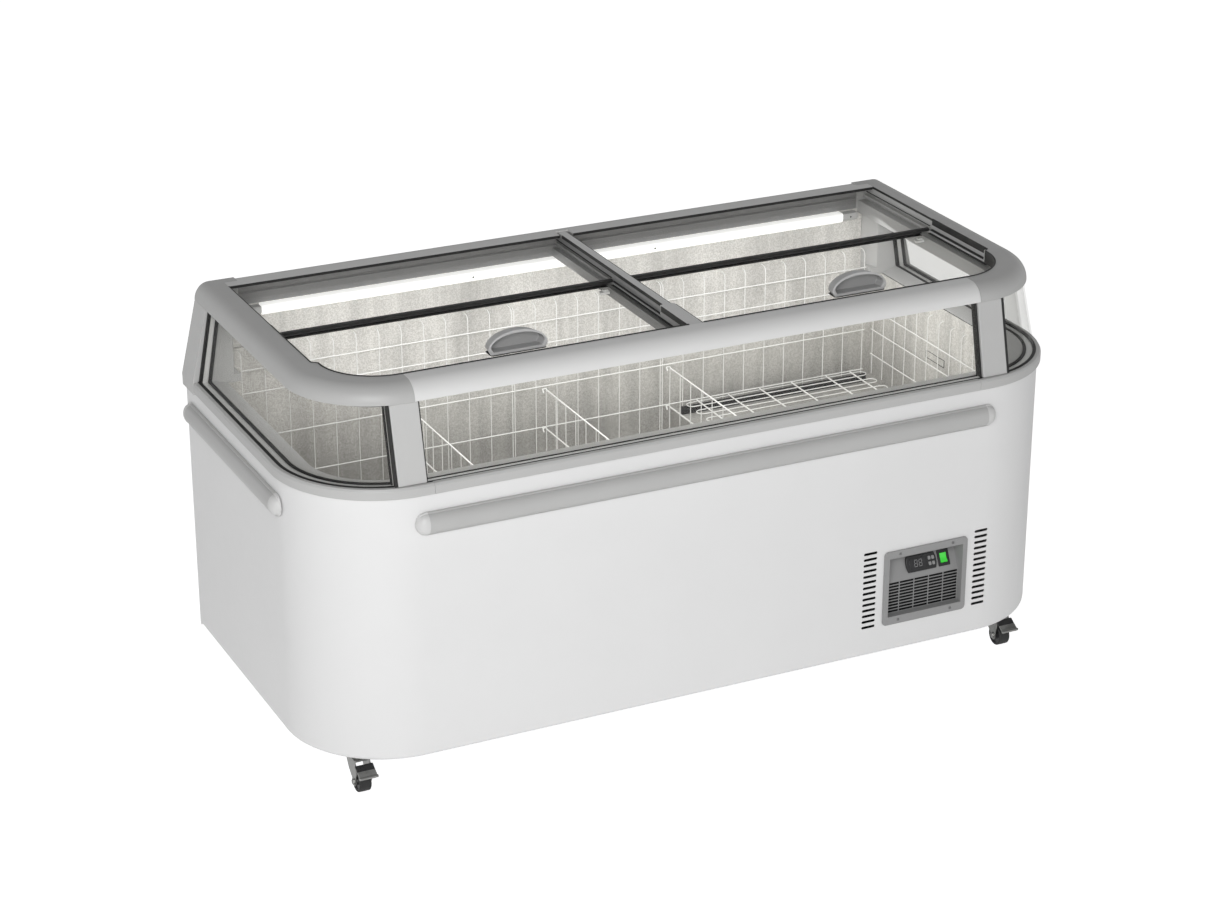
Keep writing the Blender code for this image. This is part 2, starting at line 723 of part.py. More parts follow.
def half_moon(centre_x, low, half_width, height, steps=12):
    """An arch over a foot that narrows to the glass."""
    points = []
    for i in range(steps + 1):
        angle = pi * i / steps
        rise = HANDLE_FOOT + (height - HANDLE_FOOT) * sin(angle)
        points.append((centre_x + half_width * cos(angle), low + rise))
    foot = half_width - HANDLE_FOOT_TAPER
    return points + [(centre_x - foot, low), (centre_x + foot, low)]


def make_handle(side, sign, origin):
    """An upright half-moon cup that stands on the front lid, open towards the front."""
    width, depth, height = HANDLE_SIZE
    centre = sign * LID_MIDDLE_X + HANDLE_OFFSET
    bottom = LOW_GLASS + PANE + GAP
    outer = half_moon(centre, bottom, width / 2, height)
    hollow = half_moon(centre, bottom + HANDLE_WALL, width / 2 - HANDLE_WALL, height - 2 * HANDLE_WALL)
    handle = flat_plate(
        f"lid_handle_{side}", [outer], HANDLE_FRONT, HANDLE_FRONT + depth, PLASTIC_GREY, "XZ", origin
    )
    pocket = flat_plate(
        f"cut_handle_{side}", [hollow], HANDLE_FRONT - 0.01, HANDLE_FRONT + depth - 0.004, plane="XZ"
    )
    return cut(handle, pocket)


# ---------------------------------------------------------------- trim and controls


def make_lamp():
    """A light bar under the rear rail, with a holder at each end."""
    (y_low, y_high), (z_low, z_high) = LAMP_Y, LAMP_Z
    lamp = box("led_lamp", (-LAMP_HALF, y_low, z_low), (LAMP_HALF, y_high, z_high), LAMP_WHITE)
    holder_x = (LAMP_HALF - 0.001, LAMP_HOLDER_END)
    holder_z = (z_low + LAMP_HOLDER_INSET, z_high - LAMP_HOLDER_INSET)
    for side, sign in SIDES:
        join(lamp, side_block(f"join_lamp_{side}", sign, holder_x, (y_low + 0.006, y_high), holder_z))


def bumper_section(scale):
    """Half an oval against the wall, creased at mid height: (depth, height) corners."""
    depth, half_height = BUMPER_DEPTH * scale, BUMPER_HEIGHT / 2 * scale
    angles = [pi / 2 - pi * i / BUMPER_FACETS for i in range(BUMPER_FACETS + 1)]
    return [(depth * cos(angle), half_height * sin(angle)) for angle in angles]


def bumper_stations(low, high):
    """Places along a bumper and the size of its section there: domed at both ends."""
    stations = []
    for part in (1.0, 0.72, 0.35, 0.0):
        stations.append((low + BUMPER_CAP * (1 - part), max(0.15, (1 - part ** 2) ** 0.5)))
    return stations + [(low + high - place, scale) for place, scale in reversed(stations)]


def make_bumper(name, low, high, place):
    """place turns (along, depth, height) into a world point."""
    rings = []
    for corner in range(BUMPER_FACETS + 1):
        ring = []
        for along, scale in bumper_stations(low, high):
            depth, height = bumper_section(scale)[corner]
            ring.append(place(along, depth, BUMPER_Z + height))
        rings.append(ring)
    return lofted(name, rings, BUMPER_GREY)


def make_bumpers():
    make_bumper(
        "bumper_front", -FRONT_BUMPER_HALF, FRONT_BUMPER_HALF,
        lambda along, depth, z: (along, FRONT - GAP - depth, z),
    )
    for side, sign in SIDES:
        make_bumper(
            f"bumper_{side}", *SIDE_BUMPER_Y,
            lambda along, depth, z, sign=sign: (sign * (HALF_WIDTH + GAP + depth), along, z),
        )


def make_control_bezel():
    """A framed recess: a leaning console above, a slotted grille below."""
    half_w, half_h = PANEL_SIZE[0] / 2, PANEL_SIZE[1] / 2
    x_low, x_high = PANEL_X - half_w, PANEL_X + half_w
    z_low, z_high = PANEL_Z - half_h, PANEL_Z + half_h
    frame = rounded_rectangle(x_low, z_low, x_high, z_high, PANEL_CORNER)
    bezel = flat_plate(
        "control_bezel", [frame], FRONT - PANEL_LIP, FRONT - GAP, PLASTIC_GREY, plane="XZ"
    )
    lap = PANEL_LAP + GAP
    tray = box(
        "join_bezel_tray",
        (x_low + lap, FRONT - PANEL_LIP / 2, z_low + lap),
        (x_high - lap, FRONT + CONSOLE_DEPTH + TRAY_WALL, z_high - lap),
    )
    x_low, x_high = x_low + RECESS_BORDERS[0], x_high - RECESS_BORDERS[1]
    grille_low = z_low + PANEL_FRAME
    before, behind = FRONT - 0.02, FRONT + CONSOLE_DEPTH + 0.02
    recess = [
        (before, grille_low),
        (FRONT + GRILLE_DEPTH, grille_low),
        (FRONT + GRILLE_DEPTH, CONSOLE_LOW),
        (FRONT + CONSOLE_DEPTH, CONSOLE_HIGH),
        (before, CONSOLE_HIGH),
    ]
    hollow = flat_plate("cut_bezel_recess", [recess], x_low, x_high, plane="YZ")
    open_back = [
        (FRONT + GRILLE_DEPTH + TRAY_WALL, z_low),
        (FRONT + GRILLE_DEPTH + TRAY_WALL, CONSOLE_LOW),
        (FRONT + CONSOLE_DEPTH + TRAY_WALL + 0.001, CONSOLE_LOW + 0.06),
        (behind, CONSOLE_LOW + 0.06),
        (behind, z_low),
    ]
    back = flat_plate("cut_bezel_behind", [open_back], x_low - 0.1, x_high + 0.1, plane="YZ")
    cutters = [hollow, back, grille_openings(x_low, x_high, grille_low)]
    cutters.append(console_box("cut_controller_seat", CONTROLLER_X, CONTROLLER_SIZE, SEAT_GAP, SEAT_DEPTH))
    cutters.append(console_box("cut_rocker_seat", ROCKER_X, ROCKER_SIZE, SEAT_GAP, SEAT_DEPTH))
    return cut(join(bezel, tray), *cutters)


def grille_openings(x_low, x_high, z_low):
    pitch_x = (x_high - x_low) / GRILLE_COLUMNS
    pitch_z = (CONSOLE_LOW - z_low) / GRILLE_ROWS
    outlines = []
    for column in range(GRILLE_COLUMNS):
        for row in range(GRILLE_ROWS):
            u, v = x_low + (column + 0.5) * pitch_x, z_low + (row + 0.5) * pitch_z
            half_u, half_v = (pitch_x - GRILLE_BAR) / 2, (pitch_z - GRILLE_BAR) / 2
            outlines.append(rectangle(u - half_u, v - half_v, u + half_u, v + half_v))
    return flat_plate("cut_grille", outlines, FRONT + 0.005, FRONT + 0.030, plane="XZ")


def console_frame(tilt=0.0):
    """Middle, upward direction and outward normal of the leaning console, in the YZ plane."""
    middle = Vector((0, FRONT + (GRILLE_DEPTH + CONSOLE_DEPTH) / 2, (CONSOLE_LOW + CONSOLE_HIGH) / 2))
    up = Vector((0, CONSOLE_DEPTH - GRILLE_DEPTH, CONSOLE_HIGH - CONSOLE_LOW)).normalized()
    up.rotate(Matrix.Rotation(tilt, 3, "X"))
    normal = Vector((0, -up.z, up.y))
    return middle, up, normal


def console_box(name, x, size, grow, depth, finish=None, tilt=0.0):
    """A block set square to the leaning console, between two depths along its outward normal."""
    middle, up, normal = console_frame(tilt)
    half_width, half_height = size[0] / 2 + grow, size[1] / 2 + grow
    outline = [
        middle + up * v + normal * n for v, n in rectangle(-half_height, depth[0], half_height, depth[1])
    ]
    rings = [[(x + side * half_width, p.y, p.z) for side in (-1, 1)] for p in outline]
    origin = (x, middle.y, middle.z) if finish is not None else (0, 0, 0)
    return lofted(name, rings, finish, origin)


def make_controls():
    """The rocker rests with its top pressed in, and turns about the middle of the console."""
    make_control_bezel()
    console_box("controller", CONTROLLER_X, CONTROLLER_SIZE, 0, (-0.008, 0.007), DARK_PLASTIC)
    console_box("rocker_switch", ROCKER_X, ROCKER_SIZE, 0, (-0.003, 0.005), SWITCH_GREEN, -ROCKER_TILT)


# ---------------------------------------------------------------- casters


def make_casters():
    for row, axle_y in zip(("front", "rear"), CASTER_AXLE_Y):
        for side, sign in SIDES:
            make_caster(f"{row}_{side}", sign * CASTER_X, axle_y, row == "front")


def make_caster(place, x, axle_y, braked):
    """A swivel fork whose post stands behind the axle, its wheel and, in front, a brake pedal."""
    axle = Vector((x, axle_y, WHEEL_RADIUS))
    pivot = Vector((x, axle_y + CASTER_TRAIL, 0.0))
    fork = cylinder(
        f"caster_fork_{place}", (pivot.x, pivot.y, 0.0835), (0, 0, 1), 0.024, 0.021, ZINC, 16, tuple(pivot)
    )
    cheek = [
        (pivot.y + 0.020, 0.080),
        (pivot.y + 0.012, 0.055),
        (axle_y + 0.009, 0.016),
        (axle_y - 0.009, 0.016),
        (axle_y - 0.013, 0.055),
        (axle_y - 0.006, 0.080),
    ]
    for side in (-1, 1):
        ends = sorted((x + side * 0.0155, x + side * 0.0180))
        join(fork, flat_plate(f"join_cheek_{place}_{side}", [cheek], *ends, plane="YZ"))
    join(fork, cylinder(f"join_axle_{place}", tuple(axle), (1, 0, 0), AXLE_RADIUS, 0.044, sides=10))
    crown = (x - 0.018, axle_y - 0.006, 0.0740), (x + 0.018, pivot.y + 0.010, 0.0800)
    join(fork, box(f"join_crown_{place}", *crown))
    make_wheel(place, axle)
    if braked:
        make_brake_pedal(place, x, axle_y)


def make_wheel(place, axle):
    """Turned about its axle: the profile runs down the outside and back up the bore."""
    half = WHEEL_WIDTH / 2
    bore = AXLE_RADIUS + 0.0005
    profile = [
        (bore, half),
        (0.011, half),
        (0.012, half - 0.003),
        (0.018, half - 0.003),
        (0.0195, half),
        (0.0225, half),
        (WHEEL_RADIUS, half - 0.003),
        (WHEEL_RADIUS, 0.003 - half),
        (0.0225, -half),
        (0.0195, -half),
        (0.018, 0.003 - half),
        (0.012, 0.003 - half),
        (0.011, -half),
        (bore, -half),
    ]
    work = bmesh.new()
    points = [work.verts.new((radius, 0, height)) for radius, height in profile]
    for first, second in zip(points, points[1:] + points[:1]):
        work.edges.new((first, second))
    mesh = bpy.data.meshes.new(f"caster_wheel_{place}")
    work.to_mesh(mesh)
    work.free()
    wheel = add_mesh(f"caster_wheel_{place}", mesh, RUBBER)
    wheel.location = axle
    wheel.rotation_euler = (0, pi / 2, 0)
    turned = wheel.modifiers.new("turned", "SCREW")
    turned.steps = WHEEL_STEPS
    turned.render_steps = WHEEL_STEPS
    turned.use_merge_vertices = True
    turned.merge_threshold = 0.00001


def make_brake_pedal(place, x, axle_y):
    """A foot lever hinged across the fork, over the front of the wheel."""
    section = [
        (axle_y - 0.0140, 0.0700),
        (axle_y - 0.0140, 0.0630),
        (axle_y - 0.0420, 0.0500),
        (axle_y - 0.0440, 0.0540),
        (axle_y - 0.0180, 0.0700),
    ]
    pedal = flat_plate(
        f"brake_pedal_{place}", [section], x - 0.022, x + 0.022, ZINC, "YZ", (x, axle_y - 0.0160, 0.0670)
    )
    roll = cylinder(f"join_pedal_{place}", (x, axle_y - 0.0440, 0.0525), (1, 0, 0), 0.0035, 0.044, sides=8)
    return join(pedal, roll)


# ---------------------------------------------------------------- refrigeration


def make_refrigeration():
    floor = BASE_PAN_LOW + BASE_PAN_SHEET + GAP
    make_compressor(floor)
    make_condenser(floor)
    make_fan(floor)


def make_compressor(floor):
    """A hermetic can on a foot plate."""
    x, y = COMPRESSOR_X, COMPRESSOR_Y
    half_x, half_y = COMPRESSOR_FOOT
    can = cylinder(
        "compressor", (x, y, floor + 0.100), (0, 0, 1), COMPRESSOR_RADIUS, 0.150, COMPRESSOR_BLACK, 20
    )
    dome = cylinder("join_dome", (x, y, floor + 0.180), (0, 0, 1), COMPRESSOR_RADIUS * 0.7, 0.030)
    foot = box("join_foot", (x - half_x, y - half_y, floor), (x + half_x, y + half_y, floor + 0.026))
    tube = cylinder("join_stub", (x - half_x, y, floor + 0.120), (1, 0, 0), 0.006, 0.060, sides=8)
    join(can, dome, foot, tube)


def make_condenser(floor):
    """A finned block in front of its fan shroud, which has a round throat."""
    (x_low, x_high), (y_low, y_high) = CONDENSER_X, CONDENSER_Y
    condenser = box("condenser", (x_low, y_low, floor), (x_high, y_high, CONDENSER_TOP), FIN_ALUMINIUM)
    shroud = box(
        "join_shroud",
        (x_low - 0.005, y_high - 0.002, floor),
        (x_high + 0.005, SHROUD_BACK, CONDENSER_TOP + 0.002),
    )
    throat = cylinder(
        "cut_throat", (FAN_HUB[0], SHROUD_BACK - 0.008, FAN_HUB[2]), (0, 1, 0), THROAT_RADIUS, 0.060, sides=24
    )
    cut(join(condenser, shroud), throat)


def make_fan(floor):
    """A motor on a bracket behind the condenser, with a bladed fan in the throat."""
    hub = Vector(FAN_HUB)
    motor = cylinder(
        "fan_motor", (hub.x, hub.y + 0.055, hub.z), (0, 1, 0), 0.038, 0.070, COMPRESSOR_BLACK
    )
    foot_low = (hub.x - 0.020, hub.y + 0.040, floor)
    foot_high = (hub.x + 0.020, hub.y + 0.070, hub.z - 0.020)
    join(motor, box("join_motor_foot", foot_low, foot_high))
    fan = cylinder("fan_blade", tuple(hub), (0, 1, 0), 0.022, 0.030, DARK_PLASTIC, 12, tuple(hub))
    for i in range(FAN_BLADES):
        spin = Matrix.Translation(hub) @ Matrix.Rotation(2 * pi * i / FAN_BLADES, 4, "Y")
        pitch = Matrix.Rotation(pi / 6, 4, "Z")
        blade = box(f"join_blade_{i}", (-0.024, -0.0012, 0.012), (0.024, 0.0012, 0.088))
        blade.data.transform(spin @ pitch)
        join(fan, blade)


# ---------------------------------------------------------------- wire goods


def lattice(name, low, high, columns, rows):
    """A wire lattice one wire thick: its box, less one block for each opening.

    Columns run along the box's first long side in X, Y, Z order, and rows along the second.
    """
    low, high = Vector(low), Vector(high)
    size = high - low
    thin = min(range(3), key=lambda axis: size[axis])
    across, up = [axis for axis in range(3) if axis != thin]
    width = (size[across] - WIRE) / columns
    height = (size[up] - WIRE) / rows
    work = bmesh.new()
    for column in range(columns):
        for row in range(rows):
            block = Vector((0, 0, 0))
            block[thin] = 3 * WIRE
            block[across] = width - WIRE
            block[up] = height - WIRE
            middle = (low + high) / 2
            middle[across] = low[across] + WIRE / 2 + width * (column + 0.5)
            middle[up] = low[up] + WIRE / 2 + height * (row + 0.5)
            place = Matrix.Translation(middle) @ Matrix.Diagonal((*block, 1))
            bmesh.ops.create_cube(work, size=1, matrix=place)
    openings = add_mesh(f"cut_{name}", mesh_from(f"cut_{name}", work), None)
    return cut(box(name, low, high, WIRE_WHITE), openings)


def make_guards():
    """Wire guards that keep the goods off the back and end walls."""
    half = REAR_POST_INNER_X - 0.001
    rear = lattice(
        "guard_rear", (-half, GUARD_REAR_Y, GUARD_LOW), (half, GUARD_REAR_Y + WIRE, GUARD_REAR_TOP), 15, 5
    )
    cut(rear, box("cut_guard_step", (STEP_X - 0.012, FRONT + 0.7, 0.1), (1.0, FRONT + 0.8, STEP_TOP + 0.010)))
    for side, sign, low, rows in (("left", -1, GUARD_LOW, 4), ("right", 1, STEP_TOP + 0.015, 2)):
        ends = sorted((sign * GUARD_SIDE_X, sign * (GUARD_SIDE_X + WIRE)))
        y_low, y_high = GUARD_SIDE_Y
        lattice(f"guard_{side}", (ends[0], y_low, low), (ends[1], y_high, GUARD_SIDE_TOP), 5, rows)


def make_rack_and_dividers():
    """The rack on the compressor step, and wire dividers hung across the well."""
    lattice("step_rack", (*RACK_LOW, RACK_Z), (*RACK_HIGH, RACK_Z + WIRE), 4, 6)
    for i, x in enumerate(DIVIDERS_X):
        (y_low, y_high), (z_low, z_high) = DIVIDER_Y, DIVIDER_Z
        lattice(f"divider_{i + 1}", (x, y_low, z_low), (x + WIRE, y_high, z_high), 1, 3)


def main():
    make_outer_shell()
    make_back_panel()
    make_base_pan()
    make_liner_tub()
    make_foam()
    make_rear_wall_panel()
    make_sill()
    make_top_frame()
    make_centre_bar()
    make_posts()
    make_fixed_glass()
    make_lids()
    make_lamp()
    make_bumpers()
    make_controls()
    make_casters()
    make_refrigeration()
    make_guards()
    make_rack_and_dividers()


clear_scene()
PARTS = new_collection("chest_freezer")
CUTTERS = new_collection("cutters")
main()
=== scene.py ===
"""Looks of the glass-topped island freezer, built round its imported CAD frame.

Metres, +Z up, +X right and +Y back, as in the frame. Each fine piece stands for one CAD node, or is
a seal, screw, clip or spacer that the frame leaves out.
"""

from math import asin, cos, pi, radians, sin

import bmesh
import bpy
from mathutils import Euler, Matrix, Vector


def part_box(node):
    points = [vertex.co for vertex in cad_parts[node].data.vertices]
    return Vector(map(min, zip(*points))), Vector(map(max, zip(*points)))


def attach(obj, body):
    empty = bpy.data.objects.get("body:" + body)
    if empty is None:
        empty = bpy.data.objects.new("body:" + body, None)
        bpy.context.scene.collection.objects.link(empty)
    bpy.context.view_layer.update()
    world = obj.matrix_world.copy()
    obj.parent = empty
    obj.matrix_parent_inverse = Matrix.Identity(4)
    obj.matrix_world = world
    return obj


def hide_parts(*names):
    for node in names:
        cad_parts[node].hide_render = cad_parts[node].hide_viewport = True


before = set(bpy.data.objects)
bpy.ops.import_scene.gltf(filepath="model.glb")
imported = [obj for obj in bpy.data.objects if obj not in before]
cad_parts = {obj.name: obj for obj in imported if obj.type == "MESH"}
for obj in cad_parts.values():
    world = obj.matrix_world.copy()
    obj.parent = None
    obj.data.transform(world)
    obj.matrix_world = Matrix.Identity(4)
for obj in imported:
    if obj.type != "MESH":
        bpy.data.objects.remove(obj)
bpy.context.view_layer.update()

GAP = 0.0004
SHARP_ANGLE = radians(32)
ARC_STEPS = 28
SIDES = (("left", -1), ("right", 1))
BODY = "cabinet"

# Cabinet, from the frame
(_, FRONT, SHELL_BOTTOM), (HALF_WIDTH, SHELL_END_Y, SHELL_TOP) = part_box("outer_shell")
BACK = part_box("back_panel")[1].y
SHEET = 0.0015
CORNER_RADIUS = 0.235
TUCK_RADIUS = 0.013
TUCK_DEPTH = 0.032

# Well, from the frame's liner
LINER_LOW, LINER_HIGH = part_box("liner_tub")
WELL_BACK, LINER_TOP = LINER_HIGH.yz
STEP_X = 0.292
STEP_TOP = 0.435
REAR_SEAM_Z = 0.778

# Canopy, from the frame
SILL_SEAM_X, _, SILL_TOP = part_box("sill_front")[1]
FRAME_SEAM_X, _, FRAME_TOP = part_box("top_rail_front")[1]
FRAME_LOW = FRAME_TOP - 0.039
POST_INNER_X = 0.675
POST_OUTER_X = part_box("post_front_right")[1].x
REAR_POST_INNER_X, REAR_POST_FRONT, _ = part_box("post_rear_right")[0]
(_, REAR_RAIL_FRONT, REAR_RAIL_LOW), (REAR_SEAM_X, _, _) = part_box("top_rail_rear")
REAR_CORNER_X = 0.860
WEB_CLEAR_X = 0.8555
UPPER_TRACK = 0.9125
UPPER_TRACK_FRONT = FRONT + 0.239
TRACK_SLANT = 0.010
PANE = 0.004
GROOVE_FLOOR = SILL_TOP - 0.007

# Panes as (side inset, front inset) at the sill and under the top frame
OUTER_PANE = ((0.0065, 0.0065), (0.0380, 0.0480))
INNER_PANE = ((0.0280, 0.0280), (0.0570, 0.0670))
# The flat front panes as front insets, in the same way
FRONT_OUTER_PANE = (0.0095, 0.0485)
FRONT_INNER_PANE = (0.0205, 0.0595)

# Lids, from the frame
(LID_INNER_X, _, LOW_GLASS), (LOW_LID_OUTER_X, _, _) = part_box("front_lid_right_glass")
(_, _, HIGH_GLASS), (HIGH_LID_OUTER_X, HIGH_LID_REAR, _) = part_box("rear_lid_right_glass")
TRACK_FACE = HIGH_LID_OUTER_X + 0.002
LID_MEETING = FRONT + 0.490
LID_CORNER = 0.134

# ---------------------------------------------------------------- geometry


def loft(rings):
    """A skin through rings of equal point counts: ring i is corner i of the section, along the run."""
    work = bmesh.new()
    rows = [[work.verts.new(point) for point in ring] for ring in rings]
    for here, there in zip(rows, rows[1:] + rows[:1]):
        for j in range(len(here) - 1):
            work.faces.new((here[j], here[j + 1], there[j + 1], there[j]))
    for j in (0, len(rows[0]) - 1):
        work.faces.new([row[j] for row in rows])
    return work


def block(low, high):
    low, high = Vector(low), Vector(high)
    work = bmesh.new()
    bmesh.ops.create_cube(work, size=1)
    bmesh.ops.scale(work, vec=high - low, verts=work.verts)
    bmesh.ops.translate(work, vec=(low + high) / 2, verts=work.verts)
    return work


def side_block(sign, x_range, y_range, z_range):
    """A block given for the right-hand side, and mirrored when the sign is negative."""
    ends = sorted(sign * x for x in x_range)
    return block((ends[0], y_range[0], z_range[0]), (ends[1], y_range[1], z_range[1]))


def extruded(outline, low, high, plane="XY"):
    """An outline in the named plane, given thickness along the plane's normal."""
    place = {
        "XY": lambda u, v, w: (u, v, w),
        "XZ": lambda u, v, w: (u, w, v),
        "YZ": lambda u, v, w: (w, u, v),
    }[plane]
    return loft([[place(u, v, w) for w in (low, high)] for u, v in outline])


def mirrored(points, sign):
    """A right-hand outline as it is, or turned over for the left when the sign is negative."""
    return [(sign * u, v) for u, v in points]


def arc(centre, radius, start, end, steps, rise=None):
    """Points round a centre from one angle to another. A rise makes it an ellipse."""
    angles = [start + (end - start) * i / steps for i in range(steps + 1)]
    return [(centre[0] + radius * cos(a), centre[1] + (rise or radius) * sin(a)) for a in angles]


def linked(name, data):
    """An object in the scene that holds the data."""
    thing = bpy.data.objects.new(name, data)
    bpy.context.scene.collection.objects.link(thing)
    return thing


def turned(profile, centre, axis, steps=40, closed=False):
    """Turns (radius, height) points round an axis. A closed profile comes back to its first point."""
    place = Matrix.Translation(centre) @ Vector(axis).to_track_quat("Z", "Y").to_matrix().to_4x4()
    work = bmesh.new()
    rows = []
    for radius, height in profile:
        circle = arc((0, 0), radius, 0, 2 * pi, steps)[:-1]
        rows.append([work.verts.new(place @ Vector((x, y, height))) for x, y in circle])
    for here, there in zip(rows, rows[1:] + rows[:1] if closed else rows[1:]):
        for j in range(steps):
            k = (j + 1) % steps
            work.faces.new((here[j], here[k], there[k], there[j]))
    if not closed:
        for row in (rows[0], rows[-1]):
            work.faces.new(row)
    bmesh.ops.remove_doubles(work, verts=work.verts, dist=0.000001)
    return work


def moved(work, matrix):
    bmesh.ops.transform(work, matrix=matrix, verts=work.verts)
    return work


def mesh_of(work, name):
    bmesh.ops.recalc_face_normals(work, faces=work.faces)
    mesh = bpy.data.meshes.new(name)
    work.to_mesh(mesh)
    work.free()
    return mesh


def merged(*works):
    """Several solids as one mesh, each still its own body."""
    total = bmesh.new()
    for work in works:
        mesh = mesh_of(work, "merging")
        total.from_mesh(mesh)
        bpy.data.meshes.remove(mesh)
    return total


def carved(work, *cutters, operation="DIFFERENCE"):
    """The solid less the cutters, or joined to them."""
    things = [linked("carving", mesh_of(part, "carving")) for part in (work, *cutters)]
    for cutter in things[1:]:
        modifier = things[0].modifiers.new("carve", "BOOLEAN")
        modifier.operation = operation
        modifier.object = cutter
    bpy.context.view_layer.update()
    graph = bpy.context.evaluated_depsgraph_get()
    mesh = bpy.data.meshes.new_from_object(things[0].evaluated_get(graph))
    result = bmesh.new()
    result.from_mesh(mesh)
    bpy.data.meshes.remove(mesh)
    for thing in things:
        bpy.data.meshes.remove(thing.data)
    return result


def united(work, *others):
    return carved(work, *others, operation="UNION")


def rounded_rectangle(u_low, v_low, u_high, v_high, radius, steps=6):
    left, right, low, high = u_low + radius, u_high - radius, v_low + radius, v_high - radius
    outline = []
    for quarter, centre in enumerate(((right, high), (left, high), (left, low), (right, low))):
        outline += arc(centre, radius, pi / 2 * quarter, pi / 2 * (quarter + 1), steps)
    return outline


def rounded_pad(u, v, half_u, half_v, radius, steps=6):
    """A rounded rectangle about its middle."""
    return rounded_rectangle(u - half_u, v - half_v, u + half_u, v + half_v, radius, steps)


def plan_line(side_inset, front_inset, start_x, end_y):
    """Right half of a plan line that follows the cabinet: the front, the corner, then to the back."""
    side, front = HALF_WIDTH - side_inset, FRONT + front_inset
    radius = CORNER_RADIUS - (side_inset + front_inset) / 2
    centre = (side - radius, front + radius)
    first = asin(max(0.0, start_x - centre[0]) / radius)
    points = [(start_x, front)] if start_x < centre[0] else []
    return points + arc(centre, radius, first - pi / 2, 0, ARC_STEPS) + [(side, end_y)]


def plan_outline(side_inset, front_inset, end_y):
    right = plan_line(side_inset, front_inset, 0.0, end_y)
    return mirrored(right, -1)[:0:-1] + right[1:]


def swept(section, line):
    """Carries each (side inset, front inset, z) corner along its own plan line."""
    return loft([[(x, y, z) for x, y in line(side, front)] for side, front, z in section])


def half_sweep(section, start_x, end_y, sign):
    """From the front seam round to the side's end."""
    return swept(section, lambda side, front: mirrored(plan_line(side, front, start_x, end_y), sign))


def full_sweep(section, end_y):
    """From the back round the left corner, the front and the right corner."""
    return swept(section, lambda side, front: plan_outline(side, front, end_y))


def front_run(section, half_length):
    """Straight across the front."""
    return swept(section, lambda side, front: [(-half_length, FRONT + front), (half_length, FRONT + front)])


# ---------------------------------------------------------------- finishes


def feed(tree, node, **inputs):
    """Sets a node's inputs by name, to values or to other nodes' outputs."""
    for name, value in inputs.items():
        feed_socket(tree, node.inputs[name.replace("_", " ")], value)


def feed_socket(tree, socket, value):
    if isinstance(value, bpy.types.NodeSocket):
        tree.links.new(value, socket)
    else:
        socket.default_value = (*value, 1) if socket.type == "RGBA" else value


def added(tree, kind, output, **inputs):
    node = tree.nodes.new("ShaderNode" + kind)
    feed(tree, node, **inputs)
    return node.outputs[output]


def coordinates(tree):
    found = tree.nodes.get("Texture Coordinate") or tree.nodes.new("ShaderNodeTexCoord")
    return found.outputs["Object"]


def noise(tree, scale, detail=2.0, distortion=0.0, stretch=(1, 1, 1)):
    """Noise on the object's own coordinates, scale in cells per metre."""
    place = added(tree, "Mapping", "Vector", Vector=coordinates(tree), Scale=stretch)
    return added(tree, "TexNoise", "Fac", Vector=place, Scale=scale, Detail=detail, Distortion=distortion)


def ranged(tree, value, low, high, start=0.25, end=0.75):
    spans = {"From_Min": start, "From_Max": end, "To_Min": low, "To_Max": high}
    return added(tree, "MapRange", "Result", Value=value, **spans)


def calculated(tree, operation, first, second):
    node = tree.nodes.new("ShaderNodeMath")
    node.operation = operation
    feed_socket(tree, node.inputs[0], first)
    feed_socket(tree, node.inputs[1], second)
    return node.outputs["Value"]


def blended(tree, factor, first, second, blend="MIX"):
    node = tree.nodes.new("ShaderNodeMix")
    node.data_type, node.blend_type = "RGBA", blend
    feed(tree, node, Factor=factor)
    for socket, colour in zip([socket for socket in node.inputs if socket.type == "RGBA"], (first, second)):
        feed_socket(tree, socket, colour)
    return next(socket for socket in node.outputs if socket.type == "RGBA")


def bump(tree, shader, height, distance, strength):
    normal = added(tree, "Bump", "Normal", Height=height, Distance=distance, Strength=strength)
    feed(tree, shader, Normal=normal)


def blank(name):
    material = bpy.data.materials.new(name)
    material.use_nodes = True
    return material, material.node_tree, material.node_tree.nodes["Principled BSDF"]


def surface(name, slot, colour, roughness, metallic=0.0, drift=0.05, patches=7.0, grain=700.0,
            relief=0.00003, stretch=(1, 1, 1)):
    """Moulded, painted or rolled finish: slow colour drift, uneven gloss and a fine grain."""
    material, tree, shader = blank(name)
    darker = [channel * (1 - drift) for channel in colour]
    tone = blended(tree, ranged(tree, noise(tree, patches, 3.0), 0, 1), darker, colour)
    scuff = noise(tree, patches * 6, 4.0, stretch=stretch)
    gloss = ranged(tree, scuff, roughness * 0.88, roughness * 1.12)
    feed(tree, shader, Base_Color=tone, Roughness=gloss, Metallic=metallic)
    bump(tree, shader, noise(tree, grain, 2.0, stretch=stretch), relief, 0.6)
    return material, slot


def local_z(tree):
    return added(tree, "SeparateXYZ", "Z", Vector=coordinates(tree))


def rail_painted_shade_finish():
    """Rail plastic, light grey along its top edge, with painted shade making it darker below, where it faces
    into the canopy.
    """
    material, tree, shader = blank("rail_grey_painted_shade")
    # painted shade: below its top edge the rail is coloured dark for the shadow inside the canopy
    painted_shade_mask = ranged(tree, local_z(tree), 0, 1, FRAME_TOP - 0.006, FRAME_TOP - 0.002)
    tone = blended(tree, painted_shade_mask, (0.25, 0.25, 0.25), (0.60, 0.60, 0.595))
    gloss = ranged(tree, noise(tree, 42.0, 4.0, stretch=(0.05, 1, 1)), 0.34, 0.44)
    feed(tree, shader, Base_Color=tone, Roughness=gloss)
    bump(tree, shader, noise(tree, 700.0), 0.00003, 0.6)
    return material, "grey_rail"


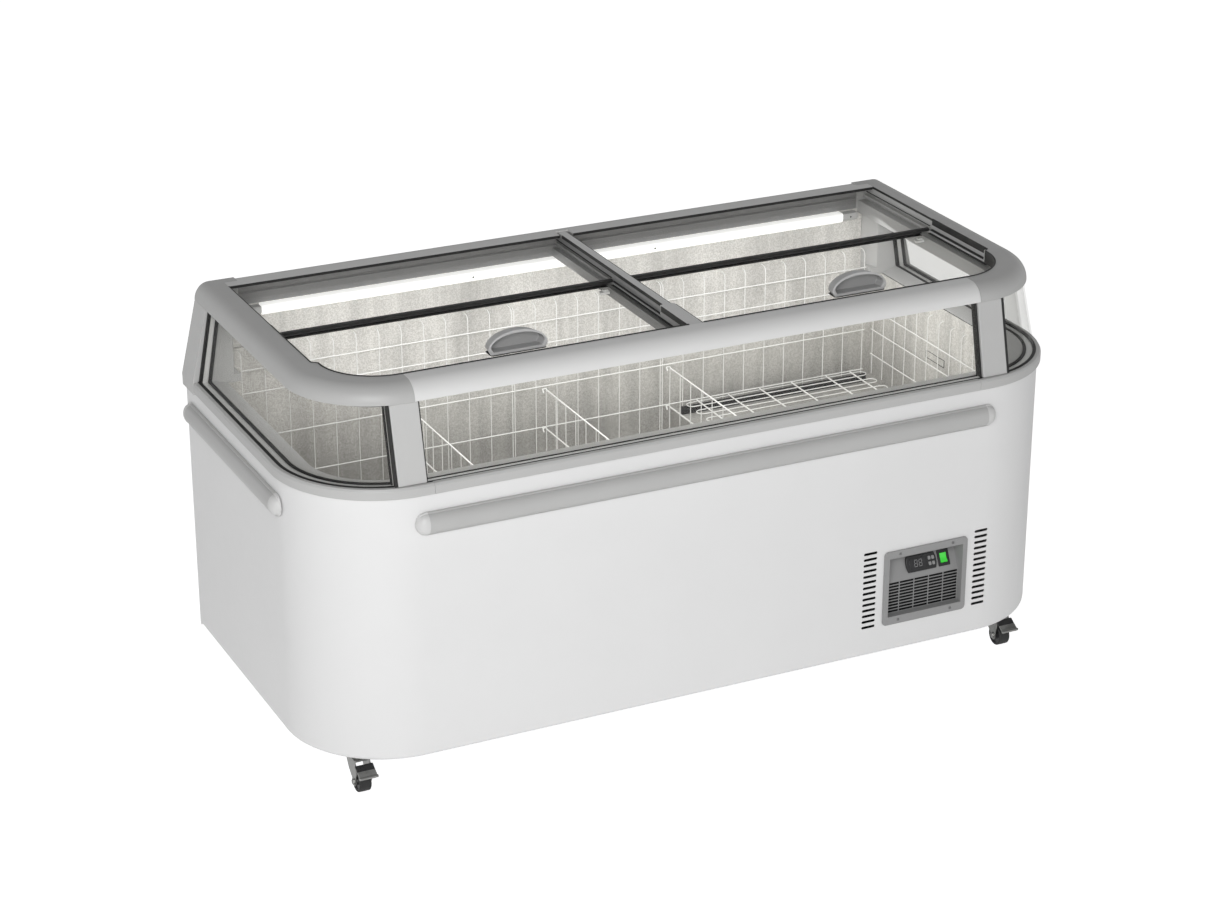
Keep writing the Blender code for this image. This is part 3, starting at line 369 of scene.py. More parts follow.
def stucco_finish():
    """Stucco-embossed aluminium sheet: a small irregular pebble with painted shade in its hollows, stained in
    places, with painted shadow streaks and painted shade darkening it low down.
    """
    material, tree, shader = blank("embossed_aluminium")
    pebble = noise(tree, 270.0, 2.0, 0.3)
    # painted shade: the pebble's hollows are coloured darker and its tops lighter, following the bump pattern
    pebble_painted_shade = blended(tree, ranged(tree, pebble, 0, 1, 0.38, 0.62), (0.66, 0.645, 0.61), (0.86, 0.845, 0.815))
    stains = ranged(tree, noise(tree, 9.0, 4.0, stretch=(1, 1, 0.25)), 0.82, 1.0, 0.30, 0.60)
    # painted shadow: faint vertical dark streaks standing in for the guard wires' shadows on the wall
    painted_wire_shadows = ranged(tree, noise(tree, 30.0, 3.0, stretch=(1, 1, 0.10)), 0.84, 1.0, 0.35, 0.60)
    # painted shade: darker towards the bottom of the well, standing in for the shade low down
    depth = ranged(tree, local_z(tree), 0.62, 1.0, 0.42, 0.62)
    # stains multiplied with the painted shadow streaks and the painted shade low down
    stains_and_painted_shade = calculated(tree, "MULTIPLY", calculated(tree, "MULTIPLY", stains, painted_wire_shadows), depth)
    tone = blended(tree, 1.0, pebble_painted_shade, blended(tree, stains_and_painted_shade, (0, 0, 0), (1, 1, 1)), "MULTIPLY")
    feed(tree, shader, Base_Color=tone, Roughness=ranged(tree, pebble, 0.42, 0.55), Metallic=0.15)
    bump(tree, shader, pebble, 0.0011, 0.8)
    return material, "stucco_aluminium"


def glass_finish(name, tint, gloss=0.02, shine_share=0.3):
    """Thin pane: clear but for its tint, with reflections that grow towards grazing angles."""
    material, tree, shader = blank(name)
    tree.nodes.remove(shader)
    steep = calculated(tree, "POWER", added(tree, "LayerWeight", "Facing"), 5.0)
    share = ranged(tree, steep, 0.035 * shine_share, 0.80 * shine_share, 0.0, 1.0)
    smear = ranged(tree, noise(tree, 6.0, 2.0), 0, 1)
    shade = blended(tree, smear, [channel * 0.985 for channel in tint], tint)
    mix = tree.nodes.new("ShaderNodeMixShader")
    tree.links.new(share, mix.inputs[0])
    tree.links.new(added(tree, "BsdfTransparent", "BSDF", Color=shade), mix.inputs[1])
    tree.links.new(added(tree, "BsdfGlossy", "BSDF", Roughness=gloss), mix.inputs[2])
    feed(tree, tree.nodes["Material Output"], Surface=mix.outputs["Shader"])
    return material, "clear_glass"


def fin_painted_shade_finish():
    """Pressed aluminium fins, closely pitched across the width, coloured near black: painted shade for the
    dark machine room behind the grille.
    """
    material, tree, shader = blank("condenser_fins_painted_shade")
    wave = tree.nodes.new("ShaderNodeTexWave")
    wave.bands_direction = "X"
    feed(tree, wave, Scale=75.0, Vector=coordinates(tree))
    # painted shade: both band tones are near black
    tone = blended(tree, wave.outputs["Fac"], (0.002, 0.002, 0.002), (0.02, 0.02, 0.02))
    feed(tree, shader, Base_Color=tone, Roughness=ranged(tree, noise(tree, 40.0), 0.6, 0.75), Metallic=0.3)
    bump(tree, shader, wave.outputs["Fac"], 0.001, 0.8)
    return material, "fin_aluminium"


def glowing(name, slot, colour, glow, roughness):
    """A translucent moulding lit from inside, a little uneven."""
    material, tree, shader = blank(name)
    drift = ranged(tree, noise(tree, 60.0, 2.0), 0, 1)
    tone = blended(tree, drift, [channel * 0.94 for channel in colour], colour)
    feed(tree, shader, Base_Color=tone, Emission_Color=tone, Emission_Strength=glow, Roughness=roughness)
    bump(tree, shader, noise(tree, 900.0), 0.00002, 0.4)
    return material, slot


def grey(level, warmth=0.005):
    """A neutral tone whose blue is a little lower."""
    return (level, level, level - warmth)


RUN_X, RUN_BOTH = (0.05, 1, 1), (0.1, 0.1, 1)
PAINT = surface("white_powder_paint", "cabinet_paint", grey(0.735, 0), 0.36, drift=0.015, grain=420)
GREY = surface("frame_grey_plastic", "grey_plastic", grey(0.45), 0.42, drift=0.03)
POST_GREY = surface("post_grey_plastic", "grey_plastic", grey(0.51), 0.42, drift=0.02)
RAIL = surface("light_grey_rail", "grey_rail", grey(0.70), 0.38, drift=0.02, stretch=RUN_X)
# the rear rail and centre bar carry painted shade below their top edge
RAIL_PAINTED_SHADE = rail_painted_shade_finish()
SILL_GREY = surface("sill_grey", "grey_rail", grey(0.47), 0.40, drift=0.02, stretch=RUN_X)
BUMPER = surface("bumper_grey_pvc", "bumper_grey", grey(0.46), 0.32, drift=0.04, stretch=RUN_BOTH)
BUMPER_END = surface("bumper_cap_grey", "bumper_grey", grey(0.60), 0.40, drift=0.03)
PANEL_GREY = surface("panel_grey_plastic", "grey_plastic", grey(0.29, 0), 0.48, drift=0.04, grain=1400)
# one handle plastic in two tones: painted shade on the cup, painted light on the rim
HANDLE_PAINTED_SHADE = surface("handle_plastic_painted_shade", "grey_plastic", grey(0.40, 0), 0.40, drift=0.03)
HANDLE_PAINTED_LIGHT = surface("handle_plastic_painted_light", "grey_plastic", grey(0.62, 0), 0.30, drift=0.02)
SPACER = surface("spacer_aluminium", "grey_rail", grey(0.80, 0.01), 0.35, 0.2, stretch=RUN_BOTH)
RUBBER = surface("black_gasket", "black_rubber", grey(0.018, 0), 0.55, drift=0.3, grain=1500)
DARK = surface("black_plastic", "dark_plastic", (0.022, 0.022, 0.023), 0.30, drift=0.3, grain=1500)
GLOSS_BLACK = surface("display_window", "dark_plastic", (0.030, 0.030, 0.032), 0.08, drift=0.5, patches=60)
ZINC = surface("zinc_plate", "zinc", grey(0.34, 0.01), 0.30, 0.95, drift=0.18, patches=90, grain=500)
SCREW = surface("dull_screw", "zinc", grey(0.22, 0), 0.55, 0.3, drift=0.2)
STEEL = surface("galvanised_sheet", "galvanised_steel", (0.55, 0.56, 0.57), 0.38, 0.9, drift=0.2, patches=40)
WIRE = surface("white_coated_wire", "white_wire", grey(0.88, 0.015), 0.35, drift=0.03, grain=1200)
# painted shade: the foam is coloured near black so the vent slots look into a dark machine room
FOAM_PAINTED_SHADE = surface("rigid_foam_painted_shade", "insulation_foam", (0.03, 0.028, 0.022), 0.9, drift=0.2, grain=250,
               relief=0.0006)
ENAMEL = surface("black_enamel", "compressor_black", grey(0.02, 0), 0.35, drift=0.3)
STUCCO = stucco_finish()
FINS_PAINTED_SHADE = fin_painted_shade_finish()
END_GLASS = glass_finish("pane_end", (0.93, 0.93, 0.926), shine_share=0.2)
LID_GLASS = glass_finish("pane_lid", (0.99, 0.99, 0.985))
LAMP = glowing("lamp_diffuser", "lamp_white", (0.86, 0.86, 0.85), 0.62, 0.35)
GREEN = glowing("lit_green_rocker", "switch_green", (0.06, 0.62, 0.06), 0.25, 0.22)


def piece(name, body, finish, work, stands_for=(), bevel=0.0, steps=2):
    """Makes a solid into a piece that rides on a body, with softened edges and its finish."""
    mesh = mesh_of(work, name)
    mesh.shade_smooth()
    mesh.set_sharp_from_angle(angle=SHARP_ANGLE)
    thing = linked(name, mesh)
    if bevel:
        soft = thing.modifiers.new("soft_edges", "BEVEL")
        soft.width = bevel
        soft.segments = steps
        soft.limit_method = "ANGLE"
        soft.angle_limit = SHARP_ANGLE
        thing.modifiers.new("weighted", "WEIGHTED_NORMAL").keep_sharp = True
    enrol(thing, body, finish, stands_for)


def enrol(thing, body, finish, stands_for):
    """Gives a piece its finish and its body, and hides the CAD nodes it stands for."""
    material, slot = finish
    thing.data.materials.clear()
    thing.data.materials.append(material)
    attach(thing, body)
    if stands_for:
        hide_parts(*stands_for)


def wires(name, body, paths, radius, stands_for=(), finish=WIRE):
    """Round wires along paths of points, as one piece."""
    curve = bpy.data.curves.new(name, "CURVE")
    curve.dimensions = "3D"
    curve.bevel_depth = radius
    curve.bevel_resolution = 2
    curve.use_fill_caps = True
    for path in paths:
        spline = curve.splines.new("POLY")
        spline.points.add(len(path) - 1)
        for point, place in zip(spline.points, path):
            point.co = (*place, 1)
    enrol(linked(name, curve), body, finish, stands_for)


def bent(points, radius, steps=5):
    """A path whose inner corners are rounded."""
    points = [Vector(point) for point in points]
    path = [points[0]]
    for before, corner, after in zip(points, points[1:], points[2:]):
        start = corner + (before - corner).normalized() * radius
        end = corner + (after - corner).normalized() * radius
        for i in range(steps + 1):
            t = i / steps
            path.append(start * (1 - t) ** 2 + corner * 2 * t * (1 - t) + end * t ** 2)
    return path + [points[-1]]


def screws(name, body, places, axis, radius=0.0035, finish=ZINC):
    """Domed screw heads with a dimple for the driver."""
    shape = ((1, 0), (1, 0.15), (0.8, 0.42), (0.45, 0.5), (0.35, 0.2), (0, 0.15))
    profile = [(radius * out, radius * up) for out, up in shape]
    piece(name, body, finish, merged(*[turned(profile, place, axis, 16) for place in places]))


def middle_x(node):
    low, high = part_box(node)
    return (low.x + high.x) / 2


# ---------------------------------------------------------------- cabinet

PANEL_LOW, PANEL_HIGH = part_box("control_bezel")
PANEL_LAP = 0.009
SLOT_ROWS = 14
SLOT_PITCH = 0.01415
SLOT_FIRST_Z = 0.170
SLOT_SIZE = (0.035, 0.0066)
SLOT_COLUMNS_X = (0.3955, 0.6885)


LOUVRE_ROWS, LOUVRE_FIRST_Z, LOUVRE_PITCH = 6, 0.150, 0.030
LOUVRE_X = (0.42, 0.72)


def make_wrap():
    """The painted sheet round the front and both ends, tucked in at the bottom, with vent slots."""
    outer = [(0.0, SHELL_TOP)]
    outer += arc((TUCK_RADIUS, SHELL_BOTTOM + TUCK_RADIUS), TUCK_RADIUS, pi, 1.5 * pi, 6)
    outer += [(TUCK_DEPTH, SHELL_BOTTOM)]
    inner = [(TUCK_DEPTH, SHELL_BOTTOM + SHEET), (TUCK_RADIUS, SHELL_BOTTOM + SHEET)]
    inner += [(SHEET, SHELL_BOTTOM + TUCK_RADIUS), (SHEET, SHELL_TOP)]
    wrap = full_sweep([(inset, inset, z) for inset, z in outer + inner], SHELL_END_Y)
    lap = Vector((PANEL_LAP, PANEL_LAP))
    window = rounded_rectangle(*(PANEL_LOW.xz + lap), *(PANEL_HIGH.xz - lap), 0.004)
    through = (FRONT - 0.01, FRONT + 0.01, "XZ")
    cutters = [extruded(window, *through)]
    half_length, half_height = SLOT_SIZE[0] / 2, SLOT_SIZE[1] / 2
    for x in SLOT_COLUMNS_X:
        heights = [SLOT_FIRST_Z + row * SLOT_PITCH for row in range(SLOT_ROWS)]
        slots = [rounded_pad(x, z, half_length, half_height, half_height * 0.98) for z in heights]
        cutters.append(merged(*[extruded(slot, *through) for slot in slots]))
    piece("cabinet_wrap", BODY, PAINT, carved(wrap, *cutters), ["outer_shell"])


def make_back():
    """Back sheet with hooded louvres over the machine room and screws round its edge."""
    low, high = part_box("back_panel")
    face = BACK - 0.0010
    sheet = block((low.x, face - SHEET, low.z), (high.x, face, high.z))
    hood = ((-SHEET, 0.012), (-0.008, 0.002), (-0.008, 0.0), (-0.0068, 0.0), (-SHEET, 0.0095))
    hoods, slots = [], []
    for row in range(LOUVRE_ROWS):
        z = LOUVRE_FIRST_Z + row * LOUVRE_PITCH
        slots.append(block((LOUVRE_X[0], face - 0.01, z), (LOUVRE_X[1], face + 0.01, z + 0.010)))
        outline = [(face + dy, z + dz) for dy, dz in hood]
        hoods.append(extruded(outline, LOUVRE_X[0] - 0.005, LOUVRE_X[1] + 0.005, "YZ"))
    piece("back_sheet", BODY, PAINT, merged(carved(sheet, merged(*slots)), *hoods), ["back_panel"])
    rim = [(x, face, z) for x in (-0.90, -0.45, 0.0, 0.45, 0.90) for z in (low.z + 0.02, high.z - 0.02)]
    rim += [(x, face, z) for x in (-0.90, 0.90) for z in (0.25, 0.40, 0.55)]
    screws("back_screws", BODY, rim, (0, 1, 0), 0.0019)


def make_liner():
    """A stepped tub of embossed sheet, open at the top."""

    def well(grow, top):
        sides = HALF_WIDTH - LINER_HIGH.x + SHEET - grow
        front = LINER_LOW.y - FRONT + SHEET - grow
        outline = plan_outline(sides, front, WELL_BACK - SHEET + grow)
        solid = extruded(outline, LINER_LOW.z + SHEET - grow, top)
        below = block((STEP_X + grow, FRONT, 0.0), (1.0, BACK, STEP_TOP - grow))
        return carved(solid, below)

    piece("liner", BODY, STUCCO, carved(well(SHEET, LINER_TOP), well(0.0, 0.8)), ["liner_tub"])


def make_rear_wall():
    """Inner face of the canopy's back in two sheets with a seam, and its painted outer sheet."""
    low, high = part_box("rear_wall_panel")
    inner = [
        block((low.x, low.y - 0.0040, low.z), (high.x, low.y + 0.004, REAR_SEAM_Z - 0.001)),
        block((low.x, low.y - 0.0004, REAR_SEAM_Z + 0.001), (high.x, low.y + 0.004, high.z)),
    ]
    piece("rear_wall_liner", BODY, STUCCO, merged(*inner), ["rear_wall_panel"], bevel=0.0012)
    outer = block((low.x, low.y + 0.0045, low.z), (high.x, BACK, high.z))
    beads = []
    for z in (low.z + 0.045, high.z - 0.045):
        groove = [(BACK + 0.001, z - 0.004), (BACK - 0.0015, z), (BACK + 0.001, z + 0.004)]
        beads.append(extruded(groove, low.x + 0.06, high.x - 0.06, "YZ"))
    piece("rear_wall_sheet", BODY, PAINT, carved(outer, merged(*beads)), bevel=0.001)


def restyle_hidden_nodes():
    """CAD nodes whose shape is already right keep it and take a finish. The foam and the condenser fins are
    coloured near black: painted shade for the machine room seen through the vents.
    """
    finishes = {
        "foam_insulation": FOAM_PAINTED_SHADE,
        "base_pan": STEEL,
        "compressor": ENAMEL,
        "condenser": FINS_PAINTED_SHADE,
        "fan_motor": ENAMEL,
        "fan_blade": DARK,
    }
    for node, (material, slot) in finishes.items():
        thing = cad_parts[node]
        thing.data.materials.clear()
        thing.data.materials.append(material)


# ---------------------------------------------------------------- sill and top frame


def sill_profile(groove_start, groove_end):
    """Outer lip, the groove that takes the glazing, and an inner slope down to the liner."""
    corners = [(-0.008, SHELL_TOP + GAP), (-0.008, 0.7255), (-0.0045, SILL_TOP), (groove_start, SILL_TOP)]
    corners += [(groove_start, GROOVE_FLOOR), (groove_end, GROOVE_FLOOR), (groove_end, SILL_TOP - 0.001)]
    corners += [(0.073, 0.7192), (0.073, 0.7172), (0.046, 0.7172), (0.046, SHELL_TOP + GAP)]
    return [(inset, inset, z) for inset, z in corners]


def make_sill():
    runs = [(side, half_sweep(sill_profile(0.0036, 0.0335), SILL_SEAM_X + GAP, REAR_POST_FRONT - GAP, sign))
            for side, sign in SIDES]
    runs.append(("front", front_run(sill_profile(0.0066, 0.0275), SILL_SEAM_X)))
    for place, run in runs:
        piece(f"sill_rail_{place}", BODY, SILL_GREY, run, [f"sill_{place}"], bevel=0.0009)


def top_frame_profile():
    """A bulging outer face, a flat top, the lower lids' slot and a web below it."""
    bulge = arc((1, 0), 1, pi, pi / 2, 12)
    rise = FRAME_TOP - FRAME_LOW
    slot = ((0.106, FRAME_TOP), (0.106, 0.908), (0.097, 0.908), (0.097, 0.899))
    web = ((0.121, 0.899), (0.121, 0.868), (0.101, 0.868))
    web += ((0.101, 0.893), (0.070, 0.893), (0.070, FRAME_LOW))
    profile = [(0.031 + 0.034 * back, 0.040 + 0.041 * back, FRAME_LOW + rise * up) for back, up in bulge]
    profile += [(inset, inset - 0.001, z) for inset, z in slot]
    return profile + [(inset, inset + 0.009, z) for inset, z in web]


def track_cutter(sign, inner_x, outer_x):
    """Room for a rear lid's edge: open to the rear, slanted where the cover starts at the front."""
    starts = [(inner_x, UPPER_TRACK_FRONT), (outer_x, UPPER_TRACK_FRONT + TRACK_SLANT)]
    outline = starts + [(outer_x, REAR_RAIL_FRONT), (inner_x, REAR_RAIL_FRONT)]
    return extruded(mirrored(outline, sign), UPPER_TRACK, FRAME_TOP + 0.01)


def make_top_frame():
    profile = top_frame_profile()
    rear = (REAR_RAIL_FRONT, BACK)
    for side, sign in SIDES:
        below = side_block(sign, (0.75, WEB_CLEAR_X), (rear[0], BACK + 0.01), (0.86, REAR_RAIL_LOW))
        leg = carved(half_sweep(profile, FRAME_SEAM_X + GAP, BACK, sign), below)
        corner = side_block(sign, (REAR_SEAM_X + GAP, REAR_CORNER_X), rear, (REAR_RAIL_LOW, FRAME_TOP))
        leg = carved(united(leg, corner), track_cutter(sign, 0.780, TRACK_FACE))
        piece(f"frame_leg_{side}", BODY, GREY, leg, [f"top_frame_{side}"])
    rail = front_run(profile, FRAME_SEAM_X)
    piece("frame_rail_front", BODY, RAIL, rail, ["top_rail_front"], bevel=0.0009)
    make_rear_rail()


RAIL_LIP = 0.026
LIP_THICKNESS = 0.0035


def make_rear_rail():
    """Square rail with a raised band and a lip over the lids; inside, a ridge above a shallow groove."""
    front, top = REAR_RAIL_FRONT, FRAME_TOP
    section = [(front, REAR_RAIL_LOW), (BACK, REAR_RAIL_LOW), (BACK, top - 0.006)]
    section += [(BACK - 0.004, top - 0.002), (BACK - 0.016, top - 0.002), (BACK - 0.0175, top), (front, top)]
    groove, ridge = front + 0.004, front - 0.0006
    section += [(front, 0.9105), (groove, 0.9075), (groove, 0.9060)]
    section += [(ridge, 0.9045), (ridge, 0.9020), (front + 0.001, 0.9010)]
    run = extruded(section, -REAR_SEAM_X, REAR_SEAM_X, "YZ")
    side = TRACK_FACE - GAP
    lip = block((-side, front - RAIL_LIP, top - LIP_THICKNESS), (side, front + 0.001, top))
    bar_gap = block((-0.0175, front - RAIL_LIP - 0.01, 0.90), (0.0175, front - GAP / 2, 1.0))
    run = carved(united(run, lip), bar_gap)
    piece("frame_rail_rear", BODY, RAIL_PAINTED_SHADE, run, ["top_rail_rear"], bevel=0.0006)


BAR_NOSE_Y = FRONT + 0.1055


def make_centre_bar():
    """An inverted T: a ridge, a ledge on each side for the rear lids and a lower one for the front lids."""
    right = [(0.017, 0.935), (0.017, 0.908), (0.011, 0.908)]
    right += [(0.011, 0.899), (0.024, 0.899), (0.024, REAR_RAIL_LOW)]
    ends = (FRONT + 0.1305, REAR_RAIL_FRONT - GAP)
    bar = loft([[(x, y, z) for y in ends] for x, z in right + mirrored(right, -1)[::-1]])
    bar = united(bar, block((-0.0168, BAR_NOSE_Y, 0.9082), (0.0168, FRONT + 0.140, 0.9348)))
    bar = carved(bar, *[track_cutter(sign, 0.040, 0.009) for _, sign in reversed(SIDES)])
    # the bar's finish paints shade on it below its top edge
    piece("lid_track_bar", BODY, RAIL_PAINTED_SHADE, bar, ["centre_bar"], bevel=0.0009)


def leaning(plan_low, plan_high, z_low, z_high):
    """A post or strip whose plan shifts from the sill to the top frame."""
    return loft([[(x0, y0, z_low), (x1, y1, z_high)] for (x0, y0), (x1, y1) in zip(plan_low, plan_high)])


def make_front_posts():
    sides = (POST_INNER_X, POST_OUTER_X)
    for side, sign in SIDES:
        plans = []
        for faces, back in (((0.002, 0.0035), 0.030), ((0.041, 0.0445), 0.069)):
            plan = [*zip(sides, faces), (POST_OUTER_X, back), (POST_INNER_X, back)]
            plans.append([(sign * x, FRONT + y) for x, y in plan])
        post = leaning(*plans, SILL_TOP + GAP, FRAME_LOW - GAP)
        piece(f"front_post_{side}", BODY, POST_GREY, post, [f"post_front_{side}"], bevel=0.0016, steps=3)


def make_rear_posts():
    """Corner posts that lean in with the glass, lap over the sill's end and fit under the frame."""
    levels = ((0.7020, 0.9330), (0.7300, 0.9330), (FRAME_LOW - GAP, 0.8940))
    plan = ((False, REAR_POST_FRONT), (True, REAR_POST_FRONT), (True, BACK), (False, BACK))
    before, behind = REAR_POST_FRONT - 0.01, BACK + 0.01
    inner, above, inner_x = 0.75, 0.95, REAR_POST_INNER_X
    under_corner = REAR_RAIL_FRONT - GAP
    blocks = (
        ((inner, HALF_WIDTH + GAP), (before, behind), (0.6, SHELL_TOP + GAP)),
        ((inner, LINER_HIGH.x + 0.001), (before, WELL_BACK + 0.001), (0.6, LINER_TOP + GAP)),
        ((inner, 0.8245), (before, REAR_RAIL_FRONT + GAP), (0.8676, above)),
        ((inner, WEB_CLEAR_X), (before, under_corner), (0.8926, above)),
        ((inner, REAR_CORNER_X + GAP), (under_corner, behind), (REAR_RAIL_LOW - GAP, above)),
    )
    hollow = [(inner, before), (inner_x + 0.020, before), (inner_x + 0.017, REAR_POST_FRONT)]
    hollow += [(inner_x - 0.001, REAR_RAIL_FRONT - 0.001), (inner, REAR_RAIL_FRONT - 0.001)]
    for side, sign in SIDES:
        post = loft([
            [(sign * (outer_x if outside else inner_x), y, z) for z, outer_x in levels] for outside, y in plan
        ])
        cutters = [side_block(sign, *ranges) for ranges in blocks]
        cutters.append(extruded(mirrored(hollow, sign), SILL_TOP + 0.004, 1.0))
        post = carved(post, *cutters)
        piece(f"rear_post_{side}", BODY, POST_GREY, post, [f"post_rear_{side}"], bevel=0.0010)


# ---------------------------------------------------------------- glazing


def pane_profile(low_insets, high_insets, z_low, z_high, thickness=PANE):
    return [
        (*low_insets, z_low),
        (*high_insets, z_high),
        (high_insets[0] + thickness, high_insets[1] + thickness, z_high),
        (low_insets[0] + thickness, low_insets[1] + thickness, z_low),
    ]


def bead_profile(start, end, top, crown=0.0008):
    """A strip in the sill's groove, its top crowned."""
    foot, width = GROOVE_FLOOR + GAP / 2, end - start
    corners = [(start, foot), (start, top - crown), (start + width * 0.3, top)]
    corners += [(start + width * 0.7, top), (end, top - crown), (end, foot)]
    return [(inset, inset, z) for inset, z in corners]


def make_end_glazing():
    """Bent double units from post to post, with seals, a spacer and upright end strips."""
    levels = (SILL_TOP - 0.006, FRAME_LOW - GAP)
    for side, sign in SIDES:
        run = (POST_OUTER_X + 0.0008, REAR_POST_FRONT - GAP, sign)
        outer, inner = [half_sweep(pane_profile(*pane, *levels), *run) for pane in (OUTER_PANE, INNER_PANE)]
        piece(f"end_pane_outer_{side}", BODY, END_GLASS, outer, [f"end_glass_{side}"])
        piece(f"end_pane_inner_{side}", BODY, END_GLASS, inner)
        seals = (bead_profile(0.0037, 0.0112, 0.7322), bead_profile(0.0262, 0.0333, 0.7318))
        seals = [half_sweep(profile, *run) for profile in seals] + upright_seals(sign, levels)
        piece(f"end_seals_{side}", BODY, RUBBER, merged(*seals), bevel=0.0005)
        spacer = half_sweep(bead_profile(0.0114, 0.0260, 0.7285, 0.0004), *run)
        spacer = merged(spacer, *upright_spacers(sign, levels))
        piece(f"end_spacer_{side}", BODY, SPACER, spacer, bevel=0.0004)


def rear_strip(sign, low, high, depth, levels):
    """An upright strip on the rear post's front face, given its side insets at the sill and the top."""
    near, far = REAR_POST_FRONT - depth, REAR_POST_FRONT - GAP
    plans = [((start, near), (start, far), (end, far), (end, near)) for start, end in (low, high)]
    return leaning(*[[(sign * (HALF_WIDTH - inset), y) for inset, y in plan] for plan in plans], *levels)


def post_strip(sign, x_range, low, high, levels):
    """An upright strip beside a front post, given its front insets at the sill and the top."""
    near, far = x_range
    plans = [((near, start), (far, start), (far, end), (near, end)) for start, end in (low, high)]
    return leaning(*[[(sign * x, FRONT + inset) for x, inset in plan] for plan in plans], *levels)


def upright_seals(sign, levels):
    beside = (POST_OUTER_X + 0.0004, POST_OUTER_X + 0.0070)
    return [
        rear_strip(sign, (0.0045, 0.0122), (0.0360, 0.0437), 0.0065, levels),
        rear_strip(sign, (0.0262, 0.0335), (0.0552, 0.0625), 0.0085, levels),
        post_strip(sign, beside, (0.0045, 0.0120), (0.0460, 0.0535), levels),
        post_strip(sign, beside, (0.0265, 0.0335), (0.0655, 0.0725), levels),
    ]


def upright_spacers(sign, levels):
    beside = (POST_OUTER_X + 0.0004, POST_OUTER_X + 0.0040)
    return [
        rear_strip(sign, (0.0124, 0.0260), (0.0439, 0.0550), 0.0040, levels),
        post_strip(sign, beside, (0.0122, 0.0263), (0.0537, 0.0653), levels),
    ]


def make_front_glazing():
    """A flat double unit between the front posts, with thin seals."""
    levels = (SILL_TOP - 0.006, FRAME_LOW - GAP)
    half = POST_INNER_X - 0.0008
    panes = [((0, low), (0, high)) for low, high in (FRONT_OUTER_PANE, FRONT_INNER_PANE)]
    outer, inner = [front_run(pane_profile(*pane, *levels), half) for pane in panes]
    piece("front_pane_outer", BODY, LID_GLASS, outer, ["front_glass"])
    piece("front_pane_inner", BODY, LID_GLASS, inner)
    beads = ((0.0070, 0.0094, 0.7316), (0.0246, 0.0271, 0.7310))
    strips = [front_run(bead_profile(*bead), half) for bead in beads]
    for sign in (-1, 1):
        strips.append(post_strip(sign, (half - 0.0035, half), (0.0080, 0.0270), (0.0470, 0.0660), levels))
    piece("front_seals", BODY, RUBBER, merged(*strips), bevel=0.0004)
    spacer = front_run(bead_profile(0.0136, 0.0204, 0.7306, 0.0003), half)
    piece("front_spacer", BODY, SPACER, spacer, bevel=0.0003)


# ---------------------------------------------------------------- lids

SEAL_LOW, SEAL_HIGH = 0.9225, 0.9385
SEAL_FOOT = 0.9085
BRUSH = 0.0022


def make_frame_seals():
    """Black brush seal round the inner edge of the top frame and along both sides of the centre bar."""
    face, top = HALF_WIDTH - 0.106, FRAME_TOP
    lip_front = REAR_RAIL_FRONT - RAIL_LIP
    slant_end = UPPER_TRACK_FRONT + TRACK_SLANT
    swept_seal = [(0.1061, 0.1051, SEAL_FOOT), (0.1061, 0.1051, SEAL_HIGH)]
    swept_seal += [(0.1092, 0.1082, SEAL_HIGH), (0.1092, 0.1082, SEAL_FOOT)]
    slant = [(face, UPPER_TRACK_FRONT), (TRACK_FACE, slant_end), (TRACK_FACE, LID_MEETING)]
    slant += [(TRACK_FACE - BRUSH, LID_MEETING), (TRACK_FACE - BRUSH, slant_end + 0.001)]
    slant += [(face - 0.0025, UPPER_TRACK_FRONT)]
    straight = (
        ((TRACK_FACE - BRUSH, TRACK_FACE), (LID_MEETING, lip_front - GAP), (top - 0.0045, top + 0.0004)),
        ((0.0092, 0.0112), (slant_end, lip_front - GAP), (top - 0.0095, top - 0.0022)),
        ((0.0171, 0.0190), (BAR_NOSE_Y, UPPER_TRACK_FRONT), (SEAL_LOW, SEAL_HIGH - 0.0035)),
        ((0.0175, TRACK_FACE - 0.003), (lip_front - 0.0028, lip_front - GAP), (top - 0.0065, top - 0.0006)),
    )
    runs = []
    for _, sign in SIDES:
        runs.append(half_sweep(swept_seal, 0.0175, UPPER_TRACK_FRONT, sign))
        runs.append(extruded(mirrored(slant, sign), SEAL_LOW, SEAL_HIGH))
        runs += [side_block(sign, *ranges) for ranges in straight]
    piece("frame_brush_seal", BODY, RUBBER, merged(*runs), bevel=0.0003)


def make_track_strips():
    """Rubber running strips on the ledges in front of the rear lids."""
    runs = []
    starts, end = (UPPER_TRACK_FRONT + 0.002, UPPER_TRACK_FRONT + TRACK_SLANT + 0.001), LID_MEETING - 0.004
    for _, sign in SIDES:
        for near, far in ((0.8195, HIGH_LID_OUTER_X - 0.0002), (0.0172, 0.0112)):
            outline = mirrored([(near, starts[0]), (far, starts[1]), (far, end), (near, end)], sign)
            runs.append(extruded(outline, UPPER_TRACK + GAP / 2, UPPER_TRACK + 0.0011))
    piece("track_strips", BODY, RUBBER, merged(*runs), bevel=0.0002)


def u_section(y_closed, y_open, z_glass, lip):
    """A channel round a pane's edge: closed at one side, with a lip above and below the glass."""
    y_wall = y_closed + (0.004 if y_open > y_closed else -0.004)
    low, high = z_glass - GAP, z_glass + PANE + GAP
    under = [(y_closed, low - lip), (y_open, low - lip), (y_open, low), (y_wall, low)]
    return under + [(y_wall, high), (y_open, high), (y_open, high + lip), (y_closed, high + lip)]


def lid_outline(sign, outer, front, rear, corner):
    """Plan of one pane, its outer front corner rounded to follow the frame."""
    turn = arc((outer - corner, front + corner), corner, -pi / 2, 0, 24) if corner else [(outer, front)]
    return mirrored([(LID_INNER_X, front), *turn, (outer, rear), (LID_INNER_X, rear)], sign)


